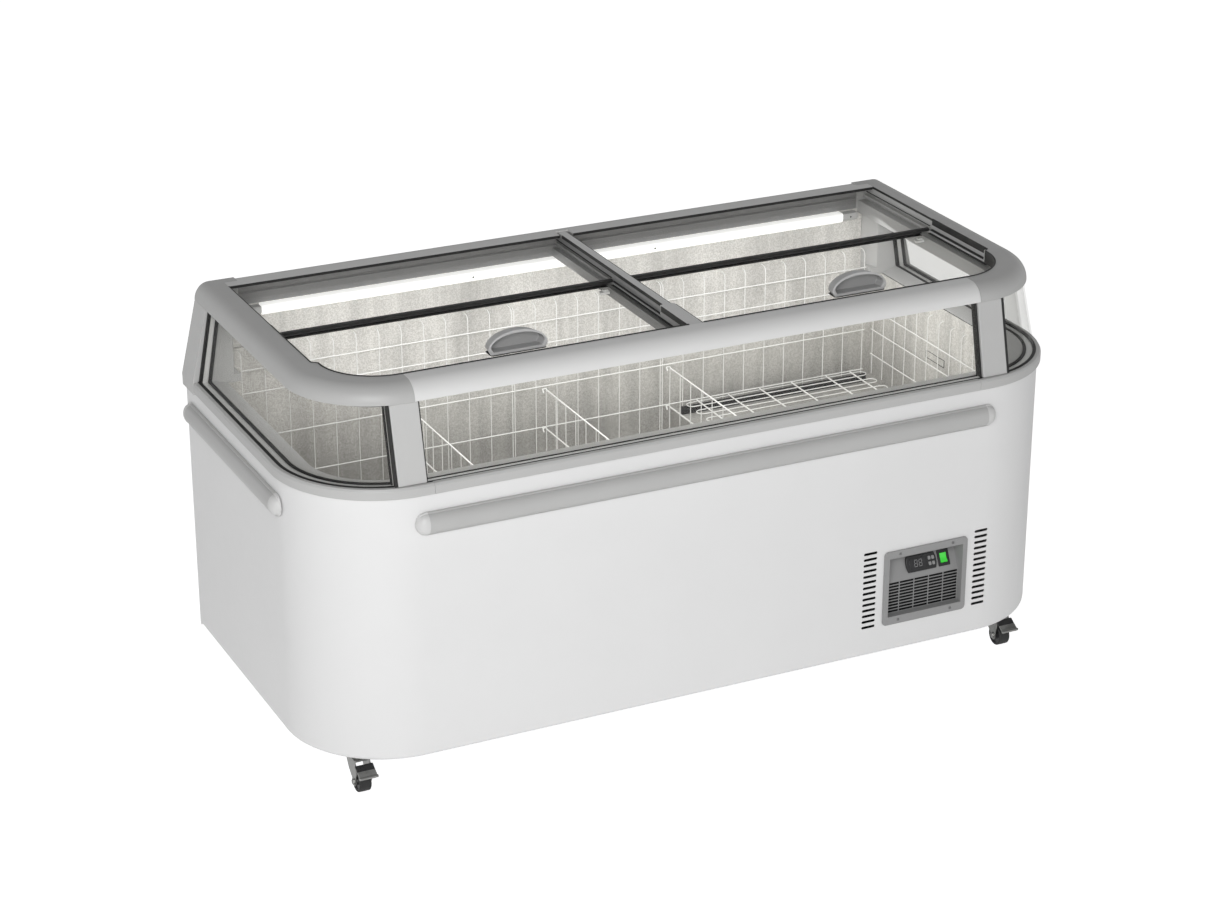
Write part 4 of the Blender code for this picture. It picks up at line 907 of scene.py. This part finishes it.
def make_lid(row, side, sign, outer, corner, channel, trim, seals, seal_end, seal_rise):
    """A pane, the channel along its meeting edge, and thin seals along its outer and inner edges."""
    body = f"{row}_lid_{side}"
    low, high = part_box(f"{body}_glass")
    pane = extruded(lid_outline(sign, outer, low.y, high.y, corner), low.z, high.z)
    piece(f"{body}_pane", body, LID_GLASS, pane, [f"{body}_glass"], bevel=0.0004)
    edge = extruded(u_section(*channel), *sorted(sign * x for x in trim), "YZ")
    piece(f"{body}_edge", body, RUBBER, edge, [f"{body}_trim"], bevel=0.0007)
    levels = (high.z + GAP / 4, high.z + seal_rise)
    outer_seal = side_block(sign, (outer - seals[0], outer), (low.y + (corner or 0.012), seal_end), levels)
    inner_seal = side_block(sign, (LID_INNER_X, LID_INNER_X + seals[1]), (low.y + 0.012, seal_end), levels)
    bevel = 0.0003 if row == "front" else 0.0002
    piece(f"{body}_seal", body, RUBBER, merged(outer_seal, inner_seal), bevel=bevel)


def make_lids():
    for side, sign in SIDES:
        rear_channel = (LID_MEETING - 0.010, LID_MEETING, HIGH_GLASS, 0.0008)
        make_lid("rear", side, sign, HIGH_LID_OUTER_X, 0, rear_channel, (0.0185, 0.8160), (0.0030, 0.0030),
                 HIGH_LID_REAR, 0.0010)
        front_channel = (LID_MEETING + 0.012, LID_MEETING - 0.001, LOW_GLASS, 0.0010)
        make_lid("front", side, sign, LOW_LID_OUTER_X, LID_CORNER, front_channel, (0.0255, 0.8030),
                 (0.0120, 0.0090), LID_MEETING - 0.008, 0.0016)
        make_handle(side, f"front_lid_{side}")
        make_clip(side, f"front_lid_{side}")


def half_moon(centre, low, half_width, height, foot_height=0.010, foot_inset=0.006):
    """An arch over a foot that narrows to the glass."""
    arch = arc((centre, low + foot_height), half_width, 0, pi, 36, height - foot_height)
    foot = half_width - foot_inset
    return arch + [(centre - foot, low), (centre + foot, low)]


def make_handle(side, body):
    """An upright half-moon cup, open to the front, its mouth framed by a slightly prouder rim. Rim and cup
    are one plastic: the rim is given painted light and the cup painted shade.
    """
    low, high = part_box(f"lid_handle_{side}")
    centre, half, height = (low.x + high.x) / 2, (high.x - low.x) / 2, high.z - low.z
    rim_y, wall = low.y + 0.005, 0.0060

    def arch(inset, drop, foot=low.z):
        return half_moon(centre, foot, half - inset, height - drop)

    def tapered(front, y_front, back, y_back):
        return loft([[(u0, y_front, v0), (u1, y_back, v1)] for (u0, v0), (u1, v1) in zip(front, back)])

    hole = arch(wall, 2 * wall, low.z + wall)
    rim = carved(extruded(arch(0, 0), low.y, rim_y, "XZ"), extruded(hole, low.y - 0.01, low.y + 0.05, "XZ"))
    piece(f"lid_{side}_handle_rim", body, HANDLE_PAINTED_LIGHT, rim, bevel=0.0012, steps=3)
    cup = tapered(arch(0.0015, 0.0015), rim_y, arch(0.0045, 0.0045), high.y)
    pocket = tapered(hole, low.y - 0.002, arch(0.009, 2 * wall + 0.004, low.z + wall), high.y - 0.004)
    cup = carved(cup, pocket)
    piece(f"lid_{side}_cup_handle", body, HANDLE_PAINTED_SHADE, cup, [f"lid_handle_{side}"], bevel=0.0008)
    foot = half - 0.004
    pad = rounded_rectangle(centre - foot, low.y - 0.003, centre + foot, high.y + 0.002, 0.006)
    pad = extruded(pad, low.z - 0.0003, low.z + 0.0006)
    piece(f"lid_{side}_handle_pad", body, RUBBER, pad, bevel=0.0002)


def make_clip(side, body):
    """A small white catch under the right-hand end of a front lid's meeting edge."""
    x, y = (-0.040 if side == "left" else 0.788), LID_MEETING - 0.008
    tongue = ((-0.015, -0.012), (0.009, -0.012), (0.014, 0.002), (-0.010, 0.004))
    plate = extruded([(x + dx, y + dy) for dx, dy in tongue], 0.8905, 0.8955)
    stem = block((x - 0.004, y - 0.006, 0.8950), (x + 0.008, y + 0.003, 0.8988))
    piece(f"lid_{side}_catch", body, WIRE, merged(plate, stem), bevel=0.0005)


# ---------------------------------------------------------------- lamp and bumpers


def make_lamp():
    """A light bar under the rear rail: a rounded diffuser between two screwed end holders."""
    low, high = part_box("led_lamp")
    section = [(high.y, high.z), (high.y, low.z)]
    section += arc((low.y + 0.008, low.z + 0.010), 0.008, -pi / 2, -pi, 6, 0.010)
    section += [(low.y, high.z - 0.003), (low.y + 0.003, high.z)]
    bar = extruded(section, -LAMP_HALF, LAMP_HALF, "YZ")
    piece("lamp_diffuser_bar", BODY, LAMP, bar, ["led_lamp"], bevel=0.0005)
    shape = [(high.y, high.z - 0.002), (high.y, low.z + 0.001), (low.y + 0.009, low.z + 0.001)]
    shape += [(low.y + 0.003, low.z + 0.007), (low.y + 0.003, high.z - 0.002)]
    holders = [extruded(shape, *sorted((sign * (LAMP_HALF + GAP), sign * high.x)), "YZ") for _, sign in SIDES]
    piece("lamp_holders", BODY, POST_GREY, merged(*holders), bevel=0.0015)
    middle = (low.z + high.z) / 2
    places = [(sign * x, low.y + dy, middle) for x, dy in ((0.775, 0.003), (0.236, 0)) for _, sign in SIDES]
    screws("lamp_screws", BODY, places, (0, -1, 0), 0.0022, DARK)


LAMP_HALF = 0.752
BUMPER_CAP = 0.026


def bumper_section(depth, half_height, steps=7):
    """Two shallow arcs that meet in a crease, over a thin lip at each edge: (depth, height) corners."""
    lip = 0.12 * half_height
    body = half_height - lip
    lower = [(0.0, half_height), (0.30, half_height), (0.36, body + 0.3 * lip), (0.30, body)]
    lower.append((0.40, body - 0.2 * lip))
    for i in range(1, steps + 1):
        t = i / steps
        lower.append((0.40 + 0.60 * sin(pi / 2 * t) ** 0.85, (body - 0.2 * lip) * (1 - t ** 1.35)))
    lower = [(depth * out, -down) for out, down in lower]
    return lower + [(out, -up) for out, up in reversed(lower[:-1])]


def bumper_run(low, high, depth, half_height, place, domed=False):
    """place turns (along, depth, height) into a point. A domed run shrinks to its rounded end."""
    stations = [(low, 1.0), (high, 1.0)]
    if domed:
        reach = [sin(pi / 2 * i / 8) for i in range(9)]
        stations = [(low + (high - low) * t, max(0.04, 1 - t ** 2.4) ** 0.5) for t in reach]
    lines = []
    for along, scale in stations:
        section = bumper_section(depth * scale, half_height * scale)
        lines.append([place(along, out, up) for out, up in section])
    return loft(zip(*lines))


def make_bumper(node, low, high, depth, half_height, place):
    rail = bumper_run(low + BUMPER_CAP, high - BUMPER_CAP, depth * 0.97, half_height * 0.98, place)
    piece(f"{node}_rail", BODY, BUMPER, rail, [node], bevel=0.0005)
    lap = BUMPER_CAP + 0.0006
    ends = ((low + lap, low), (high - lap, high))
    caps = [bumper_run(*end, depth, half_height, place, domed=True) for end in ends]
    piece(f"{node}_caps", BODY, BUMPER_END, merged(*caps), bevel=0.0006)


def make_bumpers():
    low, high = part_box("bumper_front")
    middle, half_height, wall = (low.z + high.z) / 2, (high.z - low.z) / 2, high.y
    make_bumper("bumper_front", low.x, high.x, high.y - low.y, half_height,
                lambda along, out, up: (along, wall - out, middle + up))
    for side, sign in SIDES:
        low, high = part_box(f"bumper_{side}")
        face = low.x if sign > 0 else high.x
        make_bumper(f"bumper_{side}", low.y, high.y, high.x - low.x, half_height,
                    lambda along, out, up, sign=sign, face=face: (face + sign * out, along, middle + up))


# ---------------------------------------------------------------- controls

RECESS_BORDERS = (0.014, 0.012)
PANEL_FRAME = 0.020
GRILLE_DEPTH = 0.014
CONSOLE_DEPTH = 0.046
CONSOLE_LOW = 0.262
CONSOLE_HIGH = 0.331
TRAY_WALL = 0.003
CONSOLE_DROP = 0.006
GRILLE_COLUMNS = 5
GRILLE_ROWS = 10
GRILLE_BAR = 0.0022
ROCKER_HOLE = rounded_pad(0, 0, 0.0092, 0.0124, 0.0005)


def console_place(x):
    """Local X across, local Y up the leaning console and local Z out of its face, about its middle."""
    up = Vector((0, CONSOLE_DEPTH - GRILLE_DEPTH, CONSOLE_HIGH - CONSOLE_LOW)).normalized()
    middle = Vector((x, FRONT + (GRILLE_DEPTH + CONSOLE_DEPTH) / 2, (CONSOLE_LOW + CONSOLE_HIGH) / 2))
    middle -= up * CONSOLE_DROP
    out = Vector((0, -up.z, up.y))
    columns = (Vector((1, 0, 0)), up, out)
    turn = Matrix([[column[row] for column in columns] for row in range(3)]).to_4x4()
    return Matrix.Translation(middle) @ turn


def make_bezel():
    """A framed recess with a leaning console above the grille, and a hole in it for the rocker."""
    (x_low, y, z_low), (x_high, _, z_high) = PANEL_LOW, PANEL_HIGH
    grille, console = FRONT + GRILLE_DEPTH, FRONT + CONSOLE_DEPTH
    rim = extruded(rounded_rectangle(x_low, z_low, x_high, z_high, 0.010), y, FRONT - GAP, "XZ")
    lap = PANEL_LAP + GAP
    tray = block((x_low + lap, y + 0.002, z_low + lap), (x_high - lap, console + TRAY_WALL, z_high - lap))
    left, right, low = x_low + RECESS_BORDERS[0], x_high - RECESS_BORDERS[1], z_low + PANEL_FRAME
    before, behind = FRONT - 0.02, console + 0.02
    recess = [(before, low), (grille + 0.02, low), (grille + 0.02, CONSOLE_LOW)]
    recess += [(grille, CONSOLE_LOW), (console, CONSOLE_HIGH), (before, CONSOLE_HIGH)]
    wall, above = grille + TRAY_WALL, CONSOLE_LOW + 0.06
    open_back = [(wall, z_low), (wall, CONSOLE_LOW - 0.002), (console + TRAY_WALL + 0.001, above)]
    open_back += [(behind, above), (behind, z_low)]
    cutters = [extruded(recess, left, right, "YZ"), extruded(open_back, x_low - 0.1, x_high + 0.1, "YZ")]
    cutters.append(moved(extruded(ROCKER_HOLE, -0.012, 0.012), console_place(middle_x("rocker_switch"))))
    bezel = carved(united(rim, tray), *cutters)
    piece("panel_bezel", BODY, PANEL_GREY, bezel, ["control_bezel"], bevel=0.0010)
    middle = (x_low + x_high) / 2
    heights = (z_low + PANEL_FRAME / 2, (CONSOLE_HIGH + z_high) / 2)
    places = [(middle + dx, y, z) for dx in (-0.069, 0.070) for z in heights]
    screws("panel_screws", BODY, places, (0, -1, 0), 0.0034, SCREW)
    make_grille(left, right, low)


def make_grille(left, right, low):
    """Uprights and slats across the lower recess."""
    near, far, half = FRONT + GRILLE_DEPTH, FRONT + GRILLE_DEPTH + GRILLE_BAR, GRILLE_BAR / 2
    bars = []
    for row in range(GRILLE_ROWS + 1):
        z = low + row * (CONSOLE_LOW - low) / GRILLE_ROWS
        bars.append(block((left + GAP, near, z - half), (right - GAP, far, z + half)))
    for column in range(GRILLE_COLUMNS + 1):
        x = left + column * (right - left) / GRILLE_COLUMNS
        bars.append(block((x - half, near + 0.0004, low), (x + half, far - 0.0004, CONSOLE_LOW)))
    piece("panel_grille", BODY, PANEL_GREY, merged(*bars), bevel=0.0004)


def barrel(half_width, half_height, bulge, steps=8):
    """An outline with straight top and bottom and bowed ends."""
    heights = [-1 + 2 * i / steps for i in range(steps + 1)]
    right = [(half_width - bulge * t * t, t * half_height) for t in heights]
    return right + [(-u, -v) for u, v in right]


def make_controller():
    """A thermostat with bowed ends: body, smoked window and four soft keys."""
    low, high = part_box("controller")
    place = console_place(middle_x("controller"))
    body = extruded(barrel((high.x - low.x) / 2, 0.019, 0.004), -0.0005, 0.0060)
    piece("thermostat_body", BODY, DARK, moved(body, place), ["controller"], bevel=0.0014, steps=3)
    window = extruded(rounded_rectangle(-0.031, -0.0125, 0.014, 0.0125, 0.003), 0.0055, 0.0066)
    piece("thermostat_window", BODY, GLOSS_BLACK, moved(window, place), bevel=0.0004)
    keys = [rounded_pad(u, v, 0.0035, 0.0042, 0.0022) for u in (0.0215, 0.0310) for v in (-0.0065, 0.0065)]
    keys = merged(*[extruded(key, 0.0056, 0.0067) for key in keys])
    piece("thermostat_keys", BODY, PANEL_GREY, moved(keys, place), bevel=0.0004)
    make_digits(place)


def make_digits(place):
    """Two unlit seven-segment eights, the generic face of such a display."""
    half_width, half_height, half_bar, slant = 0.00375, 0.0075, 0.00055, 0.08
    upright = (half_bar, half_height / 2 - 2 * half_bar)
    bars = []
    for centre in (-0.0150, -0.0030):
        for v in (-half_height, 0.0, half_height):
            bars.append(rounded_pad(centre, v, half_width, half_bar, 0.0004, 2))
        for u in (centre - half_width, centre + half_width):
            bars += [rounded_pad(u, v, *upright, 0.0004, 2) for v in (-half_height / 2, half_height / 2)]
    strokes = [extruded([(u + slant * v, v) for u, v in bar], 0.00662, 0.00675) for bar in bars]
    piece("thermostat_digits", BODY, PANEL_GREY, moved(merged(*strokes), place))


def make_rocker():
    """A lit rocker in a black snap-in frame, resting with its top pressed in."""
    place = console_place(middle_x("rocker_switch"))
    ring = extruded(rounded_pad(0, 0, 0.0150, 0.0190, 0.0015), -0.0005, 0.0022)
    ring = carved(ring, extruded(ROCKER_HOLE, -0.01, 0.01))
    piece("rocker_frame", BODY, DARK, moved(ring, place), bevel=0.0005)
    half = 0.0112
    profile = [(half * t, 0.0012 + 0.0024 * abs(t) ** 1.4) for t in [i / 4 - 1 for i in range(9)]]
    cap = extruded(profile + [(half, -0.003), (-half, -0.003)], -0.0086, 0.0086, "YZ")
    cap = moved(cap, place @ Matrix.Rotation(-pi / 30, 4, "X"))
    piece("rocker_cap", "rocker", GREEN, cap, ["rocker_switch"], bevel=0.0007)


def doubled(half):
    """Half an outline of (radius, height) points, then its reflection below."""
    return [*half, *[(radius, -height) for radius, height in reversed(half)]]


# ---------------------------------------------------------------- casters

CASTER_TRAIL = 0.024
AXLE_RADIUS = 0.004


def make_casters():
    for row in ("front", "rear"):
        for side, _ in SIDES:
            place = f"{row}_{side}"
            low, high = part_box(f"caster_wheel_{place}")
            axle = (low + high) / 2
            make_fork(place, axle)
            make_wheel(place, axle, (high.z - low.z) / 2, (high.x - low.x) / 2)
            if row == "front":
                make_pedal(place, axle)


def make_fork(place, axle):
    """Top plate, swivel race and a pressed fork with its axle bolt and nuts."""
    x, pivot_y, top = axle.x, axle.y + CASTER_TRAIL, SHELL_BOTTOM + 0.0017
    plate = extruded(rounded_pad(x, pivot_y, 0.030, 0.030, 0.006), top - 0.0022, top)
    race = [(0.0, 0.0), (0.0235, 0.0), (0.0245, 0.003), (0.0215, 0.0065), (0.0185, 0.0075), (0.0, 0.0075)]
    race = turned(race, (x, pivot_y, top - 0.0098), (0, 0, 1), 48)
    piece(f"caster_plate_{place}", BODY, ZINC, merged(plate, race), bevel=0.0005)
    bolts = [(x + dx, pivot_y + dy, top - 0.0022) for dx in (-0.023, 0.023) for dy in (-0.023, 0.023)]
    screws(f"caster_bolts_{place}", BODY, bolts, (0, 0, -1), 0.0038)
    head = [(0.0, 0.0), (0.0205, 0.0), (0.0228, 0.002), (0.0232, 0.006), (0.0200, 0.0095), (0.0, 0.0095)]
    head = turned(head, (x, pivot_y, 0.0765), (0, 0, 1), 48)
    crown = rounded_rectangle(x - 0.018, axle.y - 0.007, x + 0.018, pivot_y + 0.012, 0.004)
    cheek = fork_cheek(axle.y, pivot_y)
    cheeks = [extruded(cheek, *sorted((x + side * 0.0155, x + side * 0.0180)), "YZ") for side in (-1, 1)]
    fork = united(head, extruded(crown, 0.0740, 0.0785), *cheeks)
    piece(f"caster_yoke_{place}", f"fork_{place}", ZINC, fork, [f"caster_fork_{place}"], bevel=0.0007)
    bolt = doubled([(0.0, 0.0222), (0.0032, 0.0222), (AXLE_RADIUS, 0.0214)])
    nuts = [turned(bolt, axle, (1, 0, 0), 24)]
    washer = [(0.0, 0.0), (0.0085, 0.0), (0.0085, 0.0010), (0.0, 0.0010)]
    nut = [(0.0, 0.0), (0.0068, 0.0), (0.0068, 0.0024), (0.0058, 0.0030), (0.0, 0.0030)]
    for side in (-1, 1):
        for profile, offset, steps in ((washer, 0.0181, 32), (nut, 0.0190, 6)):
            nuts.append(turned(profile, axle + Vector((side * offset, 0, 0)), (side, 0, 0), steps))
    piece(f"caster_axle_{place}", f"fork_{place}", ZINC, merged(*nuts), bevel=0.0003)


def fork_cheek(axle_y, pivot_y):
    """Side plate of the fork: wide under the swivel, swept forward to a round boss at the axle."""
    points = [(pivot_y + 0.021, 0.078), (pivot_y + 0.017, 0.064), (pivot_y + 0.006, 0.046)]
    points += arc((axle_y, 0.025), 0.0105, radians(20), radians(-200), 8)
    return points + [(axle_y - 0.0125, 0.050), (axle_y - 0.013, 0.062), (axle_y - 0.007, 0.078)]


def make_wheel(place, axle, radius, half):
    """A black tyre on a moulded centre with a recessed web."""
    shoulder = arc((radius - 0.0030, half - 0.0030), 0.0030, pi / 2, 0, 4)[:-1]
    upper = [(0.0205, half - 0.0004), *shoulder]
    tread = doubled(upper)
    tread.insert(len(upper), (radius, 0.0))
    tyre = turned(tread, axle, (1, 0, 0), 56, closed=True)
    piece(f"caster_tyre_{place}", f"wheel_{place}", RUBBER, tyre, [f"caster_wheel_{place}"], bevel=0.0004)
    hub = [(AXLE_RADIUS + 0.0005, half), (0.0085, half), (0.0095, half - 0.0035)]
    hub += [(0.0180, half - 0.0035), (0.0190, half - 0.0012), (0.0204, half - 0.0012)]
    centre = turned(doubled(hub), axle, (1, 0, 0), 56, closed=True)
    piece(f"caster_centre_{place}", f"wheel_{place}", DARK, centre, bevel=0.0004)


def make_pedal(place, axle):
    """A black brake plate with a bright lip and a rolled toe bar."""
    plate = ((0.0140, 0.0700), (0.0140, 0.0655), (0.0300, 0.0590), (0.0300, 0.0620), (0.0180, 0.0700))
    lip = ((0.0280, 0.0606), (0.0280, 0.0585), (0.0425, 0.0500))
    lip += ((0.0440, 0.0515), (0.0435, 0.0545), (0.0300, 0.0626))
    outlines = [[(axle.y - reach, z) for reach, z in outline] for outline in (plate, lip)]
    plate, lip = [extruded(outline, axle.x - 0.0205, axle.x + 0.0205, "YZ") for outline in outlines]
    piece(f"brake_plate_{place}", f"pedal_{place}", DARK, plate, [f"brake_pedal_{place}"], bevel=0.0006)
    toe = doubled([(0.0, 0.0220), (0.0026, 0.0220), (0.0035, 0.0212)])
    toe = turned(toe, (axle.x, axle.y - 0.0440, 0.0525), (1, 0, 0), 24)
    piece(f"brake_lip_{place}", f"pedal_{place}", ZINC, merged(lip, toe), bevel=0.0005)


# ---------------------------------------------------------------- wire goods

THIN, THICK = 0.0011, 0.0019
GUARD_LEVELS = (0.733, 0.677, 0.568, 0.463, 0.355, 0.250)
GUARD_SEAMS = (-0.142, 0.250)
SIDE_LEVELS = (0.625, 0.570, 0.505, 0.435, 0.350, 0.270, 0.200)
WIRE_PITCH = 0.0555


def spread(low, high, pitch):
    """Evenly spaced places from low to high, as near the pitch as fits."""
    count = max(1, round((high - low) / pitch))
    return [low + (high - low) * i / count for i in range(count + 1)]


def make_rear_guard():
    """Three welded sections side by side, each upright bent back over the wall at the top."""
    low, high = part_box("guard_rear")
    y = (low.y + high.y) / 2
    edges = (low.x + 0.003, *GUARD_SEAMS, high.x - 0.003)
    thin, thick = [], []
    for start, end in zip(edges, edges[1:]):
        start, end = start + 0.003, end - 0.003
        for x in spread(start, end, WIRE_PITCH):
            bottom = low.z + 0.002 if x < STEP_X - 0.012 else STEP_TOP + 0.012
            top = high.z - THIN
            thin.append(bent([(x, y, bottom), (x, y, top), (x, y + 0.022, top)], 0.016))
        for z in GUARD_LEVELS:
            limit = end if z > STEP_TOP + 0.012 else min(end, STEP_X - 0.016)
            if limit > start:
                thick.append([(start - 0.003, y - 0.0030, z), (limit + 0.003, y - 0.0030, z)])
    wires("guard_back_uprights", BODY, thin, THIN, ["guard_rear"])
    wires("guard_back_rails", BODY, thick, 0.0015)


def make_side_guards():
    for side, sign in SIDES:
        low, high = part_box(f"guard_{side}")
        x = (low.x + high.x) / 2
        inner = x - sign * 0.003
        thin, thick = [], []
        for y in spread(low.y + 0.002, high.y - 0.002, 0.050):
            thin.append(bent([(x, y, low.z + 0.002), (x, y, high.z), (x + sign * 0.013, y, high.z)], 0.011))
        for z in SIDE_LEVELS:
            if z > low.z:
                thick.append([(inner, low.y, z), (inner, high.y, z)])
        wires(f"guard_{side}_uprights", BODY, thin, THIN, [f"guard_{side}"])
        wires(f"guard_{side}_rails", BODY, thick, 0.0014)


def make_side_vent():
    """A narrow slot pressed into the liner's right wall, drawn only as a dark outline: painted shade for the
    slot's recess.
    """
    x = LINER_HIGH.x - SHEET - 0.0008
    y_low, y_high, z_low, z_high = FRONT + 0.440, FRONT + 0.522, 0.572, 0.590
    corners = ((y_low, z_low), (y_high, z_low), (y_high, z_high), (y_low, z_high), (y_low, z_low))
    # painted shade: a dark wire round the slot's edge
    wires("liner_side_slot_painted_shade", BODY, [[(x, y, z) for y, z in corners]], 0.0008, finish=DARK)


def make_dividers():
    """Each hangs by square hooks on the back guard's rails."""
    for i in (1, 2, 3):
        low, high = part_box(f"divider_{i}")
        x, hook_y, back = middle_x(f"divider_{i}"), high.y + 0.0005, high.y - 0.001
        hook = ((-0.001, -0.004, 0.0), (-0.001, 0.0, 0.004), (-0.010, 0.0, 0.004), (-0.010, -0.006, -0.004))
        thick = []
        for z in (high.z - 0.001, 0.458):
            thick += [[(x, low.y, z), (x, back, z)], [(x + dx, hook_y + dy, z + dz) for dx, dy, dz in hook]]
        thin = [[(x, low.y, z), (x, back, z)] for z in (0.330, low.z + 0.002)]
        for y in spread(low.y + 0.002, high.y - 0.004, WIRE_PITCH):
            thin.append([(x - 0.0025, y, low.z + 0.002), (x - 0.0025, y, high.z - 0.001)])
        wires(f"divider_{i}_frame", BODY, thick, THICK, [f"divider_{i}"])
        wires(f"divider_{i}_wires", BODY, thin, THIN)


def make_step_rack():
    """Hairpin wires across heavier cross wires, over two dark bars."""
    low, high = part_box("step_rack")
    z, count = low.z + 0.008, 12
    pitch = (high.y - low.y - 0.004) / (count - 0.5)
    radius = pitch / 4
    pins = []
    for i in range(count):
        y = low.y + 0.004 + i * pitch + radius
        loop = arc((high.x - 0.006 - radius, y), radius, -pi / 2, pi / 2, 8)
        loop += arc((low.x + 0.022 + radius, y), radius, pi / 2, 1.5 * pi, 8)
        pins.append([(u, v, z) for u, v in [*loop, loop[0]]])
    wires("rack_hairpins", BODY, pins, 0.0013, ["step_rack"])
    places = (0.345, 0.432, 0.520, 0.610, 0.708, 0.777)
    wires("rack_cross_wires", BODY, [[(x, y, z + 0.0035) for y in (low.y, high.y)] for x in places], THICK)
    bars = []
    for y in (low.y + 0.060, high.y - 0.010):
        shape = rounded_rectangle(y - 0.003, STEP_TOP + 0.0005, y + 0.003, z - 0.0018, 0.001, 3)
        bars.append(extruded(shape, low.x + 0.008, high.x - 0.004, "YZ"))
    # two dark bars lying under the wires
    piece("rack_dark_bars", BODY, DARK, merged(*bars), bevel=0.0005)


# ---------------------------------------------------------------- stage

CAMERA_PLACE = (-2.7612, -5.5677, 3.1567)
CAMERA_TURN = (radians(66.97), 0.0, radians(-25.78))
CAMERA_LENS = 87.34
EXPOSURE = 0.30
FLOOR_GLOW, FLOOR_WHITE = 0.22, 0.64
SKY_HORIZON, SKY_ZENITH = 0.84, 0.16


def floor_finish():
    material, tree, shader = blank("pale_floor")
    tone = blended(tree, ranged(tree, noise(tree, 1.5), 0, 1), grey(0.90, 0), grey(0.93, 0))
    sight = added(tree, "LightPath", "Is Camera Ray")
    glow = ranged(tree, sight, FLOOR_GLOW, FLOOR_WHITE, 0.0, 1.0)
    feed(tree, shader, Base_Color=tone, Roughness=0.9, Specular_IOR_Level=0.1, Emission_Color=(1, 1, 1),
         Emission_Strength=glow)
    return material


def make_floor():
    work = bmesh.new()
    bmesh.ops.create_grid(work, x_segments=1, y_segments=1, size=30)
    mesh = mesh_of(work, "floor")
    mesh.materials.append(floor_finish())
    linked("floor", mesh)


def soft_light(name, place, target, size, power):
    light = bpy.data.lights.new(name, "AREA")
    light.shape = "RECTANGLE"
    light.size, light.size_y = size
    light.energy = power
    lamp = linked(name, light)
    lamp.location = place
    lamp.rotation_mode = "QUATERNION"
    lamp.rotation_quaternion = (Vector(target) - Vector(place)).to_track_quat("-Z", "Y")
    return lamp


def make_sky():
    """White studio all round: bright at the horizon, dimmer overhead."""
    world = bpy.data.worlds.new("studio")
    world.use_nodes = True
    tree = world.node_tree
    split = tree.nodes.new("ShaderNodeSeparateXYZ")
    feed(tree, split, Vector=added(tree, "TexCoord", "Generated"))
    level = ranged(tree, split.outputs["Z"], SKY_HORIZON, SKY_ZENITH, 0.0, 0.6)
    shaded = ranged(tree, split.outputs["X"], 0.98, 1.0, -1.0, 0.0)
    strength = calculated(tree, "MULTIPLY", level, shaded)
    feed(tree, tree.nodes["Background"], Color=(1, 1, 1), Strength=strength)
    bpy.context.scene.world = world


def make_studio():
    scene = bpy.context.scene
    scene.view_settings.view_transform = "Standard"
    scene.view_settings.exposure = EXPOSURE
    scene.cycles.transparent_max_bounces = 48
    make_sky()
    soft_light("front_fill", (-2.7, -4.4, 3.0), (0, 0, 0.5), (2.2, 2.2), 115)
    strip = soft_light("well_glow", (0.0, 0.05, 0.862), (0, 0.10, 0.3), (1.6, 0.5), 4.3)
    strip.visible_camera = strip.visible_glossy = False
    camera = bpy.data.cameras.new("photo_view")
    camera.lens = CAMERA_LENS
    camera.sensor_width = 36
    viewer = linked("photo_view", camera)
    viewer.location = CAMERA_PLACE
    viewer.rotation_euler = Euler(CAMERA_TURN)
    scene.camera = viewer


make_studio()
make_floor()
make_wrap()
make_back()
make_liner()
make_rear_wall()
restyle_hidden_nodes()
make_sill()
make_top_frame()
make_centre_bar()
make_front_posts()
make_rear_posts()
make_end_glazing()
make_front_glazing()
make_frame_seals()
make_track_strips()
make_lids()
make_lamp()
make_bumpers()
make_bezel()
make_controller()
make_rocker()
make_casters()
make_rear_guard()
make_side_guards()
make_side_vent()
make_dividers()
make_step_rack()
